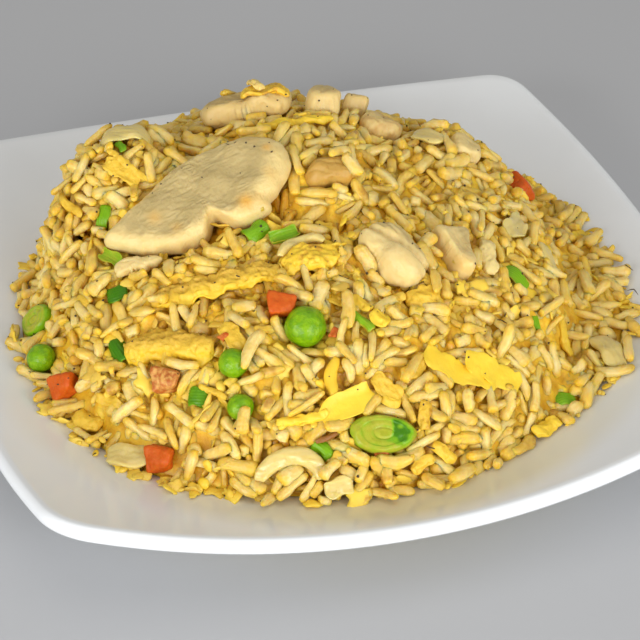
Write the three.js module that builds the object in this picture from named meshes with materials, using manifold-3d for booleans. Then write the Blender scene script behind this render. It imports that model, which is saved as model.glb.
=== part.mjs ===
import * as THREE from 'three';
import { mergeVertices } from 'three/addons/utils/BufferGeometryUtils.js';
import Module from 'manifold-3d';

// A square plate of chicken fried rice: the plate, one heap of rice, and each piece of chicken,
// egg and vegetable that lies on it. Millimetres, Z up. The origin is on the table, under the
// middle of the plate, and X and Y run along its sides.

// The plate: a square coupe plate of white porcelain with bowed sides and round corners
const HALF_SIDE = 92;
const SIDE_RADIUS = 230;
const CORNER_RADIUS = 15;
const WELL_HEIGHT = 6;
const WELL_RADIUS = 20;
const LIP_RISE = 12;
const WALL = 4;
const FOOT_INNER = 0.56;
const FOOT_OUTER = 0.6;
const PLATE_SIDES = 44;
const CORNER_CROWDING = 0.6;

// The heap of rice: where its edge lies on the plate, and the dome over it
const EDGE_RADIUS = 77;
const EDGE_WAVES = [[3, 1.5, 2.4], [7, 0.8, 5.5]];
const DOME_CENTRE = [-6, 1];
const DOME_REACH = { left: 63, right: 67, back: 72, front: 77 };
const DOME_HEIGHT = 29.5;
const SIDE_POWER = 0.5;
const FRONT_POWER = 0.8;
const APRON_HEIGHT = 3.9;
const SHOULDERS = [
  { x: -48, y: 22, height: 16, width: 16 },
  { x: -3, y: 20, height: 8, width: 24 },
  { x: 41, y: 16, height: 7, width: 13 },
];
const SWELLS = [[0.23, 0.11, 0.5], [-0.12, 0.27, 1.9], [0.19, -0.21, 4.0]];
const SWELL_HEIGHT = 0.5;
const HEAP_GRID = 25;
const GRAIN_RELIEF = 1.1;
const DISH_SIDES = 32;

// Cooked rice grains that stand out of the heap
const GRAIN_LENGTH = 8.2;
const GRAIN_WIDTH = 2.9;
const GRAIN_COUNT = 54;
const GRAIN_STAND = 0.7;
const GRAIN_MARGIN = 3;
const GRAIN_TILT = 72;
const GRAIN_SPREAD = 0.45;

// Room left round each piece that lies against another
const GAP = 0.5;

const COLOURS = {
  plate: '#eef0f1',
  rice: '#dcc184',
  chicken: '#e3c78d',
  egg: '#f0c840',
  pea: '#6fae1c',
  carrot: '#e06a3a',
  scallion: '#7fae2e',
  cabbage: '#e2d796',
};

// Every piece of chicken. Size is length, width and thickness, turn is degrees in plan and roll
// is degrees about the piece's length. An outline runs round the piece from its left end
const CHICKEN = [
  {
    name: 'chicken_slice', at: [-28.5, 1.2], turn: 7, roll: 10, lift: 2.4, size: [52, 28, 8], grid: 8,
    outline: [
      [-26.8, 0], [-21.9, 3.3], [-15, 5.4], [-6.4, 9.1], [3.2, 10.7], [14.5, 10.2], [22.8, 7], [26.2, -0.5],
      [21.4, -7.4], [15.8, -10.5], [14, -13.6], [6, -13.9], [0.8, -8.2], [-3.8, -12.3], [-11.2, -11.7],
      [-20.3, -7],
    ],
  },
  { name: 'chicken_chunk', at: [11.5, -27], turn: -58, lift: 1.5, size: [20, 13, 9] },
  {
    name: 'chicken_wedge', at: [27, -26], turn: -88, lift: 1, size: [16, 8.5, 7],
    outline: [
      [-7.8, 0], [-7.4, -4.5], [-2.5, -3.8], [2.5, -2.9], [6.6, -2.2], [7.9, 0.3], [6.2, 2.6], [1.5, 3.2],
      [-3, 3.9], [-7.2, 4.4],
    ],
  },
  { name: 'chicken_top_left', at: [-10, 30], turn: -15, lift: 2.6, size: [24, 11, 7] },
  { name: 'chicken_top', at: [8.5, 27], turn: 75, lift: 2.2, size: [10.5, 8.5, 8] },
  { name: 'chicken_top_small', at: [17, 30], turn: -22, lift: 2.4, size: [7, 6, 5.5] },
  { name: 'chicken_ridge', at: [21.5, 21.8], turn: -5, lift: 1.2, size: [13, 9, 6.5] },
  { name: 'chicken_round', at: [3, -1.5], turn: 11, lift: 0.8, size: [12.5, 8, 7] },
  { name: 'chicken_right', at: [41, 11.5], turn: -8, lift: 0.8, size: [9.5, 6.5, 5] },
  { name: 'chicken_shred', at: [-46.5, -10.5], turn: -20, lift: 1.2, size: [11, 4.2, 3.4], grid: 2 },
];

// Every strip of cooked egg. Bend curls a strip in its own plane and arch lifts its middle, both
// in degrees. Cup lifts its long edges and ruffle waves it, both in millimetres
const EGG = [
  { name: 'egg_strip', at: [-31, -25], turn: -8, lift: 0.6, size: [31, 6.5, 2.2], cells: 8, ruffle: 0.7 },
  { name: 'egg_knob', at: [-8.5, -26], turn: 9, lift: 1, size: [14, 8, 3.6], arch: 70, ruffle: 0.8 },
  { name: 'egg_fold', at: [-44, -35], turn: -30, lift: 1, size: [22.5, 8, 3], cells: 6, cup: -1.6 },
  { name: 'egg_leaf', at: [-9.5, -60.5], turn: 20, lift: 0.9, size: [13.5, 6.6, 1.6], cup: 1 },
  { name: 'egg_bright_front', at: [18.5, -55.5], turn: -22, lift: 0.9, size: [18.5, 4.4, 1.8], bend: 25 },
  { name: 'egg_bright_back', at: [27, -55], turn: -15, lift: 0.8, size: [15, 5.4, 1.8], bend: -30 },
  { name: 'egg_sliver', at: [-11.3, -55], turn: -108, lift: 0.9, size: [10, 3, 2], bend: 50 },
  { name: 'egg_right_low', at: [38, -64], turn: 23, lift: 0.7, size: [8, 4, 1.8] },
  { name: 'egg_right_up', at: [51, -37.5], turn: -88, lift: 0.6, size: [12, 3.6, 1.8], bend: 20 },
  { name: 'egg_top_strip', at: [-1, 17.5], turn: 5, lift: 0.8, size: [19.5, 3, 1.8], ruffle: 0.5 },
  { name: 'egg_browned', at: [-6, 27.5], turn: -15, lift: 4.8, size: [12, 7, 1.8], arch: 50, ruffle: 0.5 },
  { name: 'egg_left_flake', at: [-45.5, 12.5], turn: -40, lift: 0.9, size: [10, 5, 1.8], cup: 0.8 },
  { name: 'egg_left_low', at: [-64.5, -36], turn: -50, lift: 1.2, size: [8, 4.8, 2.2], arch: 40 },
  { name: 'egg_curl', at: [15.5, -39], turn: 3, lift: 0.8, size: [10, 5.5, 1.8], arch: 100 },
  { name: 'egg_mid_low', at: [0.5, -58.5], turn: -39, lift: 0.7, size: [8, 4.4, 1.8], cup: 0.8 },
  { name: 'egg_mid_high', at: [8.5, -54.5], turn: 36, lift: 0.7, size: [7.5, 4.4, 1.8], arch: 40 },
  { name: 'egg_white', at: [35.4, -25], turn: -98, lift: 1, size: [10.5, 4.6, 3], arch: 30 },
  { name: 'egg_strand', at: [-19.5, -62], turn: -4, lift: 1.3, size: [12, 2.6, 1.6], bend: 40 },
];

const PEAS = [
  { name: 'pea_big', at: [-14, -42.3], lift: 1.8, radius: 4.9 },
  { name: 'pea_left', at: [-70.3, -12.5], lift: 2.2, radius: 3.6 },
  { name: 'pea_middle', at: [-31.5, -46], lift: 0.8, radius: 3.5 },
  { name: 'pea_low', at: [-32, -54.5], lift: 0.4, radius: 3.1 },
];

const CARROTS = [
  { name: 'carrot_left', at: [-66.5, -24.5], turn: -35, roll: 18, lift: 2, size: [7, 6, 5.2] },
  { name: 'carrot_front', at: [-49.8, -54.5], turn: -35, roll: 12, lift: 2, size: [6.2, 6, 5.6] },
  { name: 'carrot_middle', at: [-18.2, -36.5], turn: -17, roll: 10, lift: 1.2, size: [6.2, 5.8, 5.8] },
  { name: 'carrot_right', at: [56, 12.5], turn: 5, roll: -10, lift: 2.2, size: [8, 5.6, 5] },
  { name: 'carrot_browned', at: [-46.3, -41.8], turn: -31, roll: 14, lift: 0.8, size: [6.2, 5.6, 4.8] },
];

// Scallion: cross cuts with their rings, then curved bits of the green leaf
const SCALLION_CUTS = [
  { name: 'scallion_slice', at: [-2.5, -67], turn: -11, lift: 1.4, size: [15, 8.8, 3.4] },
  { name: 'scallion_disc', at: [-69.5, 1.5], turn: -35, lift: 1.6, size: [10.5, 7.8, 3] },
];
const SCALLION_BITS = [
  { name: 'scallion_right', at: [41.5, -29.5], turn: -47, size: [8, 4.2, 2.2], cup: -0.8 },
  { name: 'scallion_low', at: [45.5, -56], turn: 0, size: [5.8, 4.2, 2.4], cup: -0.6 },
  { name: 'scallion_tube', at: [-55.3, -28.6], turn: -76, size: [6.8, 4.2, 2.2], cup: -1.4 },
  { name: 'scallion_top_left', at: [-18.5, -13.5], turn: 21, size: [6.2, 4.4, 2.6], cup: -1.2 },
  { name: 'scallion_top_right', at: [-12.5, -17.2], turn: 11, size: [7.2, 3.6, 2], cup: 0.8 },
  { name: 'scallion_pale', at: [-51.5, -5], turn: -60, size: [7, 3.2, 2.2], cup: 0.8 },
];

// Scallion bits no larger than a grain of rice, which are one solid with the heap
const SMALL_BITS = [
  { at: [-52.5, -14], turn: -15, size: [5.6, 4, 2.6] },
  { at: [-1, -44.5], turn: -60, size: [6.8, 2.4, 1.8] },
  { at: [-40.5, -48.5], turn: -29, size: [4.8, 4.4, 2.4] },
  { at: [-16.5, -67.5], turn: -40, size: [5.2, 3.2, 2.2] },
  { at: [-51.5, 6.5], turn: -120, size: [6, 3.2, 2.2] },
];

// Shreds of cabbage and onion
const CABBAGE = [
  { name: 'cabbage_front_left', at: [-57, -51.5], turn: -20, lift: 1.6, size: [11, 6.4, 2.6], cup: 0.8 },
  { name: 'cabbage_tall', at: [55.5, -16.5], turn: 100, lift: 0.8, size: [14, 4.8, 1.8], bend: 15 },
  { name: 'cabbage_middle', at: [47, -11], turn: 50, lift: 0.6, size: [10.5, 6, 1.8], cup: 0.8 },
  { name: 'cabbage_edge', at: [62, -42], turn: -80, lift: 1.4, size: [12, 6.4, 2.4], arch: 30 },
  { name: 'cabbage_front', at: [-14.5, -73.5], turn: -7, lift: 1.2, size: [6.5, 4.4, 2.2] },
  { name: 'cabbage_back', at: [32.5, 14], turn: -40, lift: 0.7, size: [8.5, 5.6, 2], cup: 0.6 },
  { name: 'cabbage_arch', at: [-43, 23.5], turn: -14, lift: 2, size: [15, 6.5, 1.6], arch: 110 },
  { name: 'onion_arc', at: [-23.5, -66.5], turn: -16, lift: 1.3, size: [19, 4.2, 3], bend: -150 },
  { name: 'onion_curl', at: [-10, -20.5], turn: 8, lift: 1.4, size: [13, 2.6, 2.2], bend: -110 },
];

const wasm = await Module();
wasm.setup();

// A repeatable draw of numbers from 0 to 1
function seededDraw(seed) {
  let state = seed;
  return () => {
    state = (state * 1664525 + 1013904223) % 4294967296;
    return state / 4294967296;
  };
}

// Where the waves of a piece start, so that no two pieces are alike: an angle from its place
function phaseOf([x, y], step) {
  return 1.3 * x + 0.7 * y + 2.1 * step;
}

// Distance from the plate's middle to its outline, at an angle round it: a bowed side,
// then a corner arc that touches both sides
function plateOutline(angle) {
  const quarter = Math.PI / 2;
  const turned = angle + Math.PI / 4;
  const fold = Math.abs(turned - quarter * Math.floor(turned / quarter) - Math.PI / 4);
  const back = SIDE_RADIUS - HALF_SIDE;
  const reach = SIDE_RADIUS - CORNER_RADIUS;
  const corner = (-back + Math.sqrt(2 * reach * reach - back * back)) / 2;
  const tangent = Math.atan2(corner, corner + back);
  const meet = Math.atan2(SIDE_RADIUS * Math.sin(tangent), SIDE_RADIUS * Math.cos(tangent) - back);
  if (fold < meet) {
    return -back * Math.cos(fold) + Math.sqrt(SIDE_RADIUS ** 2 - (back * Math.sin(fold)) ** 2);
  }
  const along = corner * (Math.cos(fold) + Math.sin(fold));
  const aside = corner * (Math.cos(fold) - Math.sin(fold));
  return along + Math.sqrt(CORNER_RADIUS ** 2 - aside ** 2);
}

// Height of the plate's upper face: a flat well, then a rise that steepens to the lip
function dishHeight(radius) {
  const slope = Math.max(0, radius - WELL_RADIUS) / (HALF_SIDE - WELL_RADIUS);
  return WELL_HEIGHT + LIP_RISE * slope * slope;
}

function edgeRadius(angle) {
  let radius = EDGE_RADIUS;
  for (const [count, swing, phase] of EDGE_WAVES) {
    radius += swing * Math.sin(count * angle + phase);
  }
  return radius;
}

// Height of the heap: rice that fills the dish level with its edge, a dome that falls more
// gently to the front than to the sides, three shoulders and low swells
function heapHeight(x, y) {
  const span = Math.hypot(x, y) / edgeRadius(Math.atan2(y, x));
  const room = Math.max(0, 1 - span * span);
  const dx = x - DOME_CENTRE[0];
  const dy = y - DOME_CENTRE[1];
  const reachX = dx < 0 ? DOME_REACH.left : DOME_REACH.right;
  const reachY = dy < 0 ? DOME_REACH.front : DOME_REACH.back;
  const inside = Math.max(0, 1 - (dx / reachX) ** 2 - (dy / reachY) ** 2);
  const frontness = (Math.max(0, -dy) / Math.max(1e-6, Math.hypot(dx, dy))) ** 2;
  const power = SIDE_POWER + (FRONT_POWER - SIDE_POWER) * frontness;
  const edge = Math.min(1, 4 * room);
  let height = Math.max(dishHeight(Math.hypot(x, y)), dishHeight(EDGE_RADIUS));
  height += APRON_HEIGHT * Math.sqrt(room) + DOME_HEIGHT * inside ** power;
  for (const lump of SHOULDERS) {
    const away = ((x - lump.x) ** 2 + (y - lump.y) ** 2) / lump.width ** 2;
    height += lump.height * edge * Math.exp(-(away ** 1.5));
  }
  for (const [kx, ky, phase] of SWELLS) {
    height += SWELL_HEIGHT * edge * Math.sin(kx * x + ky * y + phase);
  }
  return height;
}

// Shared corners are joined and faces that have collapsed to a line are dropped
function weld(geometry) {
  const bare = new THREE.BufferGeometry();
  bare.setAttribute('position', geometry.getAttribute('position'));
  bare.setIndex(geometry.index);
  const joined = mergeVertices(bare, 1e-4);
  const source = joined.index.array;
  const kept = [];
  for (let i = 0; i < source.length; i += 3) {
    const [a, b, c] = source.subarray(i, i + 3);
    if (a !== b && b !== c && c !== a) {
      kept.push(a, b, c);
    }
  }
  joined.setIndex(kept);
  return joined;
}

function solid(geometry) {
  const welded = weld(geometry);
  return new wasm.Manifold(new wasm.Mesh({
    numProp: 3,
    vertProperties: new Float32Array(welded.getAttribute('position').array),
    triVerts: new Uint32Array(welded.index.array),
  }));
}

// The same shape with every face moved out, for the room that a neighbour leaves round it
function grown(geometry, room) {
  const welded = weld(geometry);
  welded.computeVertexNormals();
  const place = welded.getAttribute('position');
  const normal = welded.getAttribute('normal');
  for (let i = 0; i < place.count; i += 1) {
    place.setXYZ(
      i,
      place.getX(i) + room * normal.getX(i),
      place.getY(i) + room * normal.getY(i),
      place.getZ(i) + room * normal.getZ(i),
    );
  }
  return solid(welded);
}

function toGeometry(body) {
  const mesh = body.getMesh();
  const geometry = new THREE.BufferGeometry();
  geometry.setAttribute('position', new THREE.BufferAttribute(mesh.vertProperties, 3));
  geometry.setIndex(new THREE.BufferAttribute(mesh.triVerts, 1));
  return geometry;
}

// A cut can leave crumbs beside the piece, and only the piece stays
function largest(body) {
  const pieces = body.decompose();
  return pieces.reduce((best, piece) => (piece.volume() > best.volume() ? piece : best));
}

// A closed shell over a flat grid: at(u, v, side) gives a point of its upper face where side
// is 1 and of its lower face where side is -1, with u and v from -1 to 1. Both faces are
// split into triangles alike and a wall joins their edges
function shell(columns, rows, at) {
  const sheet = new THREE.PlaneGeometry(2, 2, columns, rows);
  const flat = sheet.getAttribute('position');
  const faces = sheet.index.array;
  const count = flat.count;
  const points = [];
  for (const side of [1, -1]) {
    for (let i = 0; i < count; i += 1) {
      points.push(...at(flat.getX(i), flat.getY(i), side));
    }
  }
  const index = [...faces];
  for (let i = 0; i < faces.length; i += 3) {
    index.push(faces[i] + count, faces[i + 2] + count, faces[i + 1] + count);
  }
  const width = columns + 1;
  const rim = [];
  for (let i = 0; i < columns; i += 1) rim.push(i);
  for (let j = 0; j < rows; j += 1) rim.push(j * width + columns);
  for (let i = columns; i > 0; i -= 1) rim.push(rows * width + i);
  for (let j = rows; j > 0; j -= 1) rim.push(j * width);
  rim.forEach((a, k) => {
    const b = rim[(k + 1) % rim.length];
    index.push(a, b, b + count, a, b + count, a + count);
  });
  const geometry = new THREE.BufferGeometry();
  geometry.setAttribute('position', new THREE.Float32BufferAttribute(points, 3));
  geometry.setIndex(index);
  return geometry;
}

// A square grid point moved onto a disc of radius 1, ring by ring
function onDisc(u, v) {
  const radius = Math.max(Math.abs(u), Math.abs(v));
  if (radius === 0) {
    return [0, 0];
  }
  const upright = Math.abs(v) > Math.abs(u);
  const swing = (Math.PI / 4) * (upright ? u / v : v / u);
  const angle = upright ? Math.PI / 2 - swing : swing;
  const sign = (upright ? v : u) < 0 ? -1 : 1;
  return [sign * radius * Math.cos(angle), sign * radius * Math.sin(angle)];
}

// Distance from the middle to a closed smooth curve through points, at each angle
function smoothOutline(points) {
  const curve = new THREE.CatmullRomCurve3(points.map(([x, y]) => new THREE.Vector3(x, y, 0)), true);
  const polar = curve.getPoints(120).map((p) => [Math.atan2(p.y, p.x), Math.hypot(p.x, p.y)]);
  polar.sort((a, b) => a[0] - b[0]);
  return (angle) => {
    const next = polar.findIndex(([a]) => a >= angle);
    const high = polar[next < 0 ? 0 : next];
    const low = polar.at(next <= 0 ? -1 : next - 1);
    const gap = (high[0] - low[0] + 2 * Math.PI) % (2 * Math.PI);
    const part = gap > 0 ? ((angle - low[0] + 2 * Math.PI) % (2 * Math.PI)) / gap : 0;
    return low[1] + (high[1] - low[1]) * Math.min(1, part);
  };
}

// A cut of chicken: a rounded slab with an uneven outline and a lumpy face
function chickenPiece({ at, size, outline, grid = 4 }) {
  const [length, width, thick] = size;
  const squareness = 2.6;
  const phases = [0, 1, 2, 3].map((step) => phaseOf(at, step));
  const oval = (angle) => {
    const x = Math.abs((2 * Math.cos(angle)) / length) ** squareness;
    const y = Math.abs((2 * Math.sin(angle)) / width) ** squareness;
    const waves = 0.05 * Math.sin(2 * angle + phases[0]) + 0.05 * Math.sin(3 * angle + phases[1]);
    return (x + y) ** (-1 / squareness) * (1 + waves);
  };
  const reach = outline ? smoothOutline(outline) : oval;
  return shell(grid, grid, (u, v, side) => {
    const [px, py] = onDisc(u, v);
    const angle = Math.atan2(py, px);
    const radius = Math.hypot(px, py);
    const spread = radius * reach(angle) * (0.9 + 0.1 * Math.min(1, 4 * (1 - radius)));
    const x = spread * Math.cos(angle);
    const y = spread * Math.sin(angle);
    const round = 0.42 + 0.58 * Math.sqrt(Math.max(0, 1 - radius ** 5));
    const lumps = Math.sin(0.42 * x + phases[2]) * Math.sin(0.5 * y + phases[3]);
    return [x, y, side * (thick / 2) * round * (1 + 0.12 * lumps)];
  });
}

// A point at a distance s along an arc that turns at this rate: how far on it is, and how far
// to the side
function onArc(rate, s) {
  return rate ? [Math.sin(rate * s) / rate, (1 - Math.cos(rate * s)) / rate] : [s, 0];
}

// A soft strip of egg, leaf or shred. Bend and arch are the degrees that its middle line turns
// through, in its own plane or down out of it, and a strip has one of the two at most
function strip({ at, size, bend = 0, arch = 0, cup = 0, ruffle = 0.3, cells = 4 }) {
  const [length, width, thick] = size;
  const bendRate = THREE.MathUtils.degToRad(bend) / length;
  const archRate = THREE.MathUtils.degToRad(arch) / length;
  const phase = phaseOf(at, 0);
  const ragged = 0.17 + 0.05 * Math.sin(phaseOf(at, 1));
  const ruffleLength = 7;
  return shell(cells, 2, (u, v, side) => {
    const s = (u * length) / 2;
    const taper = Math.sqrt(1 - 0.75 * u ** 4);
    const across = v * (width / 2) * taper * (1 + ragged * Math.sin(3.5 * u + 1.7 * v + phase));
    const body = (thick / 2) * (1 - 0.35 * v * v) * (1 - 0.3 * u ** 4);
    const wave = ruffle * Math.sin((2 * Math.PI * s) / ruffleLength + phase) * (0.4 + 0.6 * v * v);
    const up = side * body + wave + cup * v * v;
    const lean = bendRate * s;
    const dip = archRate * s;
    const [forward, aside] = onArc(bendRate || archRate, s);
    return [
      forward - across * Math.sin(lean) + up * Math.sin(dip),
      across * Math.cos(lean) + (bend ? aside : 0),
      up * Math.cos(dip) - (arch ? aside : 0),
    ];
  });
}

function shortStrip(piece) {
  return strip({ ...piece, cells: 2 });
}

// A pea: a ball, a little flat and dimpled
function pea({ at, radius }) {
  const geometry = weld(new THREE.IcosahedronGeometry(radius, 1));
  const place = geometry.getAttribute('position');
  const phase = phaseOf(at, 0);
  const flatness = 0.94;
  for (let i = 0; i < place.count; i += 1) {
    const dent = 1 - 0.04 * (1 + Math.sin(1.1 * place.getX(i) + phase) * Math.cos(place.getY(i)));
    place.setXYZ(i, place.getX(i) * dent, place.getY(i) * dent, place.getZ(i) * dent * flatness);
  }
  return geometry;
}

// A carrot die: a cut block whose corners have gone soft
function carrotDie({ at, size }) {
  const geometry = weld(new THREE.BoxGeometry(...size, 2, 2, 2));
  const place = geometry.getAttribute('position');
  const half = size.map((value) => value / 2);
  const phase = phaseOf(at, 0);
  for (let i = 0; i < place.count; i += 1) {
    const [x, y, z] = [place.getX(i) / half[0], place.getY(i) / half[1], place.getZ(i) / half[2]];
    const corner = Math.abs(x) + Math.abs(y) + Math.abs(z) - 1;
    const soft = (1 - 0.05 * corner) * (1 + 0.03 * Math.sin(phase + 1.9 * x + 2.3 * y + 2.9 * z));
    const slant = 1 + 0.06 * z;
    place.setXYZ(i, x * half[0] * soft * slant, y * half[1] * soft, z * half[2] * soft);
  }
  return geometry;
}

// A slanting cut through a scallion: an oval drum, with the rings of its leaves as two steps
function scallionCut({ size }) {
  const [length, width, thick] = size;
  const profile = [
    [0, 0.34], [0.3, 0.3], [0.42, 0.5], [0.9, 0.5], [1, 0], [0.85, -0.5], [0, -0.5],
  ];
  const points = profile.map(([r, z]) => new THREE.Vector2(r, z * thick)).reverse();
  const sides = 10;
  const geometry = new THREE.LatheGeometry(points, sides);
  geometry.rotateX(Math.PI / 2);
  geometry.scale(length / 2, width / 2, 1);
  return geometry;
}

// A piece lies on the heap: its plane passes through the heap's surface under its two ends and
// its two sides, and it is lifted along that plane's normal
function lay(geometry, { at, turn = 0, roll = 0, lift = 0.6 }, [length, width]) {
  const [x, y] = at;
  const heading = THREE.MathUtils.degToRad(turn);
  const along = new THREE.Vector3(Math.cos(heading), Math.sin(heading), 0);
  const across = new THREE.Vector3(-along.y, along.x, 0);
  const height = (s, t) => heapHeight(x + s * along.x + t * across.x, y + s * along.y + t * across.y);
  const ends = [height(length / 2, 0), height(-length / 2, 0)];
  const sides = [height(0, width / 2), height(0, -width / 2)];
  along.z = (ends[0] - ends[1]) / length;
  across.z = (sides[0] - sides[1]) / width;
  along.normalize();
  const normal = along.clone().cross(across).normalize();
  across.copy(normal).cross(along);
  const middle = (ends[0] + ends[1] + sides[0] + sides[1] + 2 * height(0, 0)) / 6;
  const frame = new THREE.Matrix4().makeBasis(along, across, normal);
  frame.setPosition(x, y, middle);
  geometry.rotateX(THREE.MathUtils.degToRad(roll));
  geometry.translate(0, 0, lift);
  return geometry.applyMatrix4(frame);
}

// The plate, as a turned profile pulled out to the square outline. A profile point is its share
// of the way to the outline and its height over the upper face; the foot stops at the table
function plateGeometry() {
  const lip = 1 - WALL / 2 / HALF_SIDE;
  const deep = -4 * WALL;
  const profile = [
    [0, 0], [0.24, 0], [0.46, 0], [0.62, 0], [0.76, 0], [0.88, 0], [lip, 0],
    [(1 + 2 * lip) / 3 + 0.007, -0.15 * WALL], [1, -WALL / 2], [(1 + 2 * lip) / 3 + 0.007, -0.85 * WALL],
    [lip, -WALL], [0.8, -WALL], [FOOT_OUTER + 0.02, -WALL], [FOOT_OUTER, deep], [FOOT_INNER, deep],
    [FOOT_INNER - 0.02, -WALL], [0.24, -WALL], [0, -WALL],
  ];
  const points = profile.map(([share, drop]) => new THREE.Vector2(share, drop)).reverse();
  const geometry = new THREE.LatheGeometry(points, PLATE_SIDES);
  geometry.rotateX(Math.PI / 2);
  const place = geometry.getAttribute('position');
  for (let i = 0; i < place.count; i += 1) {
    const share = Math.hypot(place.getX(i), place.getY(i));
    const even = Math.atan2(place.getY(i), place.getX(i));
    const angle = even + (CORNER_CROWDING / 4) * Math.sin(4 * even);
    const radius = share * plateOutline(angle);
    const height = Math.max(0, dishHeight(radius) + place.getZ(i));
    place.setXYZ(i, radius * Math.cos(angle), radius * Math.sin(angle), height);
  }
  return geometry;
}

// The dish with the gap over it, which the rice and its toppings are cut by
function dishGeometry() {
  const radii = [0, WELL_RADIUS, 40, 56, 68, 78, HALF_SIDE - 2];
  const points = radii.map((radius) => new THREE.Vector2(radius, dishHeight(radius) + GAP));
  points.push(new THREE.Vector2(radii.at(-1), -WALL), new THREE.Vector2(0, -WALL));
  const geometry = new THREE.LatheGeometry(points.reverse(), DISH_SIDES);
  return geometry.rotateX(Math.PI / 2);
}

function heapGeometry(draw) {
  return shell(HEAP_GRID, HEAP_GRID, (u, v, side) => {
    const [px, py] = onDisc(u, v);
    const angle = Math.atan2(py, px);
    const share = Math.hypot(px, py);
    const x = px * edgeRadius(angle);
    const y = py * edgeRadius(angle);
    const relief = GRAIN_RELIEF * (2 * draw() - 1) * Math.min(1, 6 * (1 - share));
    return [x, y, side > 0 ? heapHeight(x, y) + relief : 0];
  });
}

// One grain of rice, half sunk in the heap at a point of a spiral that covers it evenly
function grainAt(step, draw) {
  const golden = Math.PI * (3 - Math.sqrt(5));
  const angle = step * golden;
  const share = ((step + 0.5) / GRAIN_COUNT) ** GRAIN_SPREAD;
  const radius = share * (edgeRadius(angle) - GRAIN_MARGIN);
  const grain = new THREE.SphereGeometry(1, 5, 3);
  grain.rotateZ(Math.PI / 2);
  const size = 0.85 + 0.3 * draw();
  grain.scale((size * GRAIN_LENGTH) / 2, GRAIN_WIDTH / 2, (0.9 * GRAIN_WIDTH) / 2);
  const place = { at: [radius * Math.cos(angle), radius * Math.sin(angle)], turn: 360 * draw() };
  const roll = GRAIN_TILT * draw();
  return lay(grain, { ...place, lift: GRAIN_STAND, roll }, [GRAIN_LENGTH, GRAIN_WIDTH]);
}

const group = new THREE.Group();

function addNode(name, geometry, colour, roughness) {
  const material = new THREE.MeshStandardMaterial({ color: colour, roughness, metalness: 0 });
  const mesh = new THREE.Mesh(geometry, material);
  mesh.name = name;
  group.add(mesh);
}

addNode('plate', weld(plateGeometry()), COLOURS.plate, 0.12);

const dish = solid(dishGeometry());
const kinds = [
  { list: CHICKEN, make: chickenPiece, colour: COLOURS.chicken, roughness: 0.5 },
  { list: EGG, make: strip, colour: COLOURS.egg, roughness: 0.5 },
  { list: PEAS, make: pea, colour: COLOURS.pea, roughness: 0.3 },
  { list: CARROTS, make: carrotDie, colour: COLOURS.carrot, roughness: 0.45 },
  { list: SCALLION_CUTS, make: scallionCut, colour: COLOURS.scallion, roughness: 0.35 },
  { list: SCALLION_BITS, make: shortStrip, colour: COLOURS.scallion, roughness: 0.35 },
  { list: CABBAGE, make: strip, colour: COLOURS.cabbage, roughness: 0.35 },
];

// Each topping keeps clear of the dish and of the toppings before it
const rooms = [];
for (const { list, make, colour, roughness } of kinds) {
  for (const piece of list) {
    const reach = piece.size ?? [2 * piece.radius, 2 * piece.radius];
    const shape = lay(make(piece), piece, reach);
    let body = solid(shape).subtract(dish);
    for (const room of rooms) {
      body = body.subtract(room);
    }
    rooms.push(grown(shape, GAP));
    addNode(piece.name, toGeometry(largest(body)), colour, roughness);
  }
}

// The heap: its core with the grains that clear every topping, less the dish and the toppings
const drawRice = seededDraw(11);
const core = solid(heapGeometry(drawRice));
const toppings = wasm.Manifold.union(rooms);
const loose = SMALL_BITS.map((piece) => lay(shortStrip(piece), piece, piece.size));
for (let step = 0; step < GRAIN_COUNT; step += 1) {
  loose.push(grainAt(step, drawRice));
}
const clear = loose.filter((piece) => grown(piece, GAP).intersect(toppings).isEmpty());
const bare = core.subtract(toppings);
const rice = wasm.Manifold.union([bare, ...clear.map(solid)]).subtract(dish);
addNode('rice_heap', toGeometry(largest(rice)), COLOURS.rice, 0.5);

export default group;
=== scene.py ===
import bpy
import numpy as np
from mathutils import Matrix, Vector


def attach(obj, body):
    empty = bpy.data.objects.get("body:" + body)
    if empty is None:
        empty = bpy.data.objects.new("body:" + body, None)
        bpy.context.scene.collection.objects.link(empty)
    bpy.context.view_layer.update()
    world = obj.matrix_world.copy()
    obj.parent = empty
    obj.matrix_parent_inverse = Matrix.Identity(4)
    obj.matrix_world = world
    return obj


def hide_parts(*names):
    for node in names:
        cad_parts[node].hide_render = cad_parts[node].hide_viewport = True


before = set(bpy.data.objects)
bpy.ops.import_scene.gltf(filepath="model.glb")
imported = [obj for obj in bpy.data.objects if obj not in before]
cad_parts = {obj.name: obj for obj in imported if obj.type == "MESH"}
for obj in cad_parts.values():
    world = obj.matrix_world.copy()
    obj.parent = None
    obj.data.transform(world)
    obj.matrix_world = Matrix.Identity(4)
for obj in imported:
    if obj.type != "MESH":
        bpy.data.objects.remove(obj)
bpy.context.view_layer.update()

# Plate: one square plate of white glazed porcelain, 184 mm across its bowed sides. It is pressed
# in a mould, fired and glazed, with no flat rim: a flat well, a wall that rises to a full-round
# lip, and a foot ring below that it stands on. A yellow tint painted on it at the front is the
# painted reflection and bounce light of the rice heap in the glaze.
MM = 0.001
HALF_SIDE = 92.0
SIDE_RADIUS = 230.0
CORNER_RADIUS = 15.0
WELL_HEIGHT = 6.0
WELL_RADIUS = 20.0
LIP_RISE = 12.0
WALL = 4.0
FOOT_INNER = 0.56
FOOT_OUTER = 0.6
FOOT_STEPS = [(1.15, 0.8), (1.0, 0.5), (0.95, 0.2), (0.8, 0.04), (0.6, 0.0)]
CORNER_CROWDING = 0.6
PLATE_COLUMNS = 320
PLATE_ROWS = 64
LIP_ROWS = 12
PORCELAIN = (0.82, 0.845, 0.865)
GLAZE_SHADE = (0.79, 0.81, 0.825)
PAINTED_REFLECTION = (0.70, 0.645, 0.44)
REFLECTION_RISE = 40.0
REFLECTION_REACH = 90.0
REFLECTION_FADE = 6.0
REFLECTION_WIDTH = 42.0


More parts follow.
